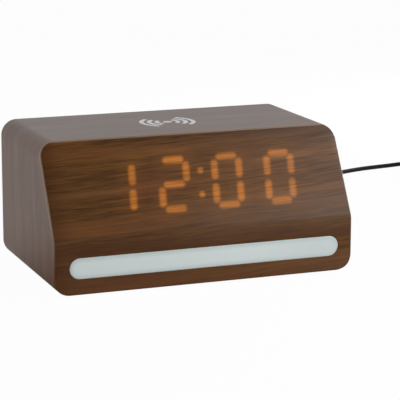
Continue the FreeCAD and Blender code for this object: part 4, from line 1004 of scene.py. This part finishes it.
loops = [grip_loop(y, usb_half_width - shrink, usb_half_height - shrink,
                   max(usb_corner - shrink, usb_least_corner)) for y, shrink in usb_sections]
loops += [grip_loop(y, radius, radius, radius) for y, radius in usb_relief]
usb_grip = lofted("charging_plug_grip", loops, cord_plastic)
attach(usb_grip, "root")
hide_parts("usb_grip")


# Power cord
# A thin black lead drops from the plug to the table and runs out behind the case to the right. The
# length that isn't seen is wound into a small tied coil with the charging plug beside it.
cord_diameter = 3.0
sheath_dark = (0.007, 0.007, 0.008)
sheath_pale = (0.015, 0.015, 0.016)
plug_exit = (plug_x, relief_end_y, plug_z)
route = [
    plug_exit, (44.0, 89.3, 22.2), (44.6, 101.5, 18.6), (46.5, 112.0, 10.6), (50.5, 122.0, 4.2),
    (57.5, 132.5, 1.5), (67.0, 143.5, 1.5), (80.0, 153.0, 1.5), (97.0, 161.8, 1.5),
    (117.5, 170.4, 1.5), (139.0, 177.8, 1.5), (161.0, 184.5, 1.5), (183.0, 191.8, 1.5),
    (204.5, 201.0, 1.5), (221.5, 206.8, 1.5), (237.0, 209.2, 1.5), (252.5, 210.6, 1.8),
    (267.0, 212.0, 2.3)]
coil_centre = (280.0, 192.0)
coil_start_radius = 20.1
coil_pitch = 4.1
coil_base_z = 2.3
coil_layers = 4
half_turns_each = 4
points_each_half = 8
tail = [(267.0, 171.9, 14.6), (256.6, 168.2, 10.2), (249.9, 160.0, 5.4), (248.6, 148.0, 4.0),
        (248.6, 138.0, 4.0)]


def coil_turns():
    """Points of the tied coil: half turns that spiral in and out, with a climb at each reversal."""
    radius = coil_start_radius
    stations = []
    for layer in range(coil_layers):
        growth = coil_pitch / 2.0 if layer % 2 else -coil_pitch / 2.0
        stations += [(radius + growth * count, coil_base_z + coil_pitch * layer)
                     for count in range(half_turns_each + 1)]
        radius = stations[-1][0]
    points = []
    for index, (start, end) in enumerate(zip(stations, stations[1:])):
        for step in range(points_each_half):
            part = step / points_each_half
            angle = math.radians(90.0 - 180.0 * (index + part))
            radius = start[0] + (end[0] - start[0]) * part
            height = start[1] + (end[1] - start[1]) * part
            points.append((coil_centre[0] + radius * math.cos(angle),
                           coil_centre[1] + radius * math.sin(angle), height))
    points.append((coil_centre[0], coil_centre[1] - stations[-1][0], stations[-1][1]))
    return points


cord_material, place = new_material("cord_sheath")
scuff = grain(place, 140.0, 4.0)
black = tint(spread(scuff, 0.4, 0.7), sheath_dark, sheath_pale)
surface(black, spread(scuff, 0.3, 0.7, 0.52, 0.66), grain(place, 2500.0, 2.0), 0.00001, IOR=1.28)
line = route + coil_turns() + tail
curve = bpy.data.curves.new("power_cord_line", "CURVE")
curve.dimensions = "3D"
curve.bevel_depth = cord_diameter / 2.0 * mm
curve.bevel_resolution = 4
curve.resolution_u = 3
curve.use_fill_caps = True
spline = curve.splines.new("NURBS")
spline.points.add(len(line) - 1)
for point, station in zip(spline.points, line):
    point.co = (*(value * mm for value in station), 1.0)
spline.order_u = 3
spline.use_endpoint_u = True
power_cord = new_object("power_lead", curve)
curve.materials.append(cord_material)
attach(power_cord, "root")
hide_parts("power_cord", "cord_coil", "cord_tail")


# Studio
# A pale floor, a white surround and two soft lamps light the clock as in the photograph. The camera
# stands where the photograph was taken.
floor_half = 3.0
white = (1.0, 1.0, 1.0)
floor_white = 0.82
floor_seen = 0.95
floor_mirrored = 0.80
floor_glow = 1.02
lens_length = 162.38
sensor_width = 36.0
camera_place = Vector((-0.353423, -0.948677, 0.259356))
yaw = math.radians(21.2550)
pitch = math.radians(12.3543)
roll = math.radians(0.1838)


def seen_and_mirrored(rays, axes, behind_range, right_range):
    """One for what the camera sees, and how bright gloss shows the surround behind and to the right."""
    seen = calc("MAXIMUM", rays["Is Camera Ray"], rays["Is Transmission Ray"])
    bright = calc("MAXIMUM", spread(axes["Y"], *behind_range), spread(axes["X"], *right_range))
    return seen, times(bright, rays["Is Glossy Ray"])


floor = bpy.data.meshes.new("floor")
floor.from_pydata([(x * floor_half, y * floor_half, 0.0)
                   for x, y in ((-1, -1), (1, -1), (1, 1), (-1, 1))], [], [(0, 1, 2, 3)])
floor_object = new_object("floor", floor)
floor_material, place = new_material("pale_floor")
tree = floor_material.node_tree
rays = put("ShaderNodeLightPath", {}, tree).node.outputs
seen, mirrored = seen_and_mirrored(rays, split(place), (-0.07, 0.15), (-0.02, 0.30, 0.0, 0.60))
shown = calc("MAXIMUM", times(seen, floor_seen), times(mirrored, floor_mirrored))
matt = put("ShaderNodeBsdfDiffuse", {"Color": (floor_white,) * 3}, tree)
glow = put("ShaderNodeEmission", {"Color": white, "Strength": floor_glow}, tree)
mixed = put("ShaderNodeMixShader", {0: shown, 1: matt, 2: glow})
put("ShaderNodeOutputMaterial", {"Surface": mixed})
floor.materials.append(floor_material)

world = bpy.data.worlds.new("studio")
bpy.context.scene.world = world
world.use_nodes = True
tree = world.node_tree
tree.nodes.clear()
rays = put("ShaderNodeLightPath", {}, tree).node.outputs
axes = split(put("ShaderNodeTexCoord", {}, tree).node.outputs["Generated"])
seen, mirrored = seen_and_mirrored(rays, axes, (-0.10, 0.35), (0.28, 0.80, 0.0, 0.82))
light = times(spread(axes["Z"], 0.08, 0.62, 1.85, 0.0), minus(1.0, rays["Is Glossy Ray"]))
strength = calc("MAXIMUM", seen, plus(mirrored, light))
background = put("ShaderNodeBackground", {"Color": white, "Strength": strength})
put("ShaderNodeOutputWorld", {"Surface": background})


def soft_lamp(name, place, target, size, power):
    """Square soft lamp at a place in metres, aimed at a target."""
    data = bpy.data.lights.new(name, "AREA")
    data.size = size
    data.energy = power
    lamp = new_object(name, data)
    lamp.location = place
    lamp.rotation_euler = (Vector(target) - Vector(place)).to_track_quat("-Z", "Y").to_euler()


soft_lamp("lamp_right", (0.37, -0.28, 0.33), (0.0, 0.0, 0.05), 0.26, 0.95)
soft_lamp("lamp_behind", (0.62, 0.40, 0.12), (0.0, 0.05, 0.04), 0.20, 2.2)

camera_data = bpy.data.cameras.new("camera")
camera_data.lens = lens_length
camera_data.sensor_width = sensor_width
camera = new_object("camera", camera_data)
turned = Matrix.Rotation(-yaw, 4, "Z") @ Matrix.Rotation(math.radians(90.0) - pitch, 4, "X")
camera.matrix_world = Matrix.Translation(camera_place) @ turned @ Matrix.Rotation(roll, 4, "Z")
bpy.context.scene.camera = camera
bpy.context.scene.view_settings.view_transform = "Standard"
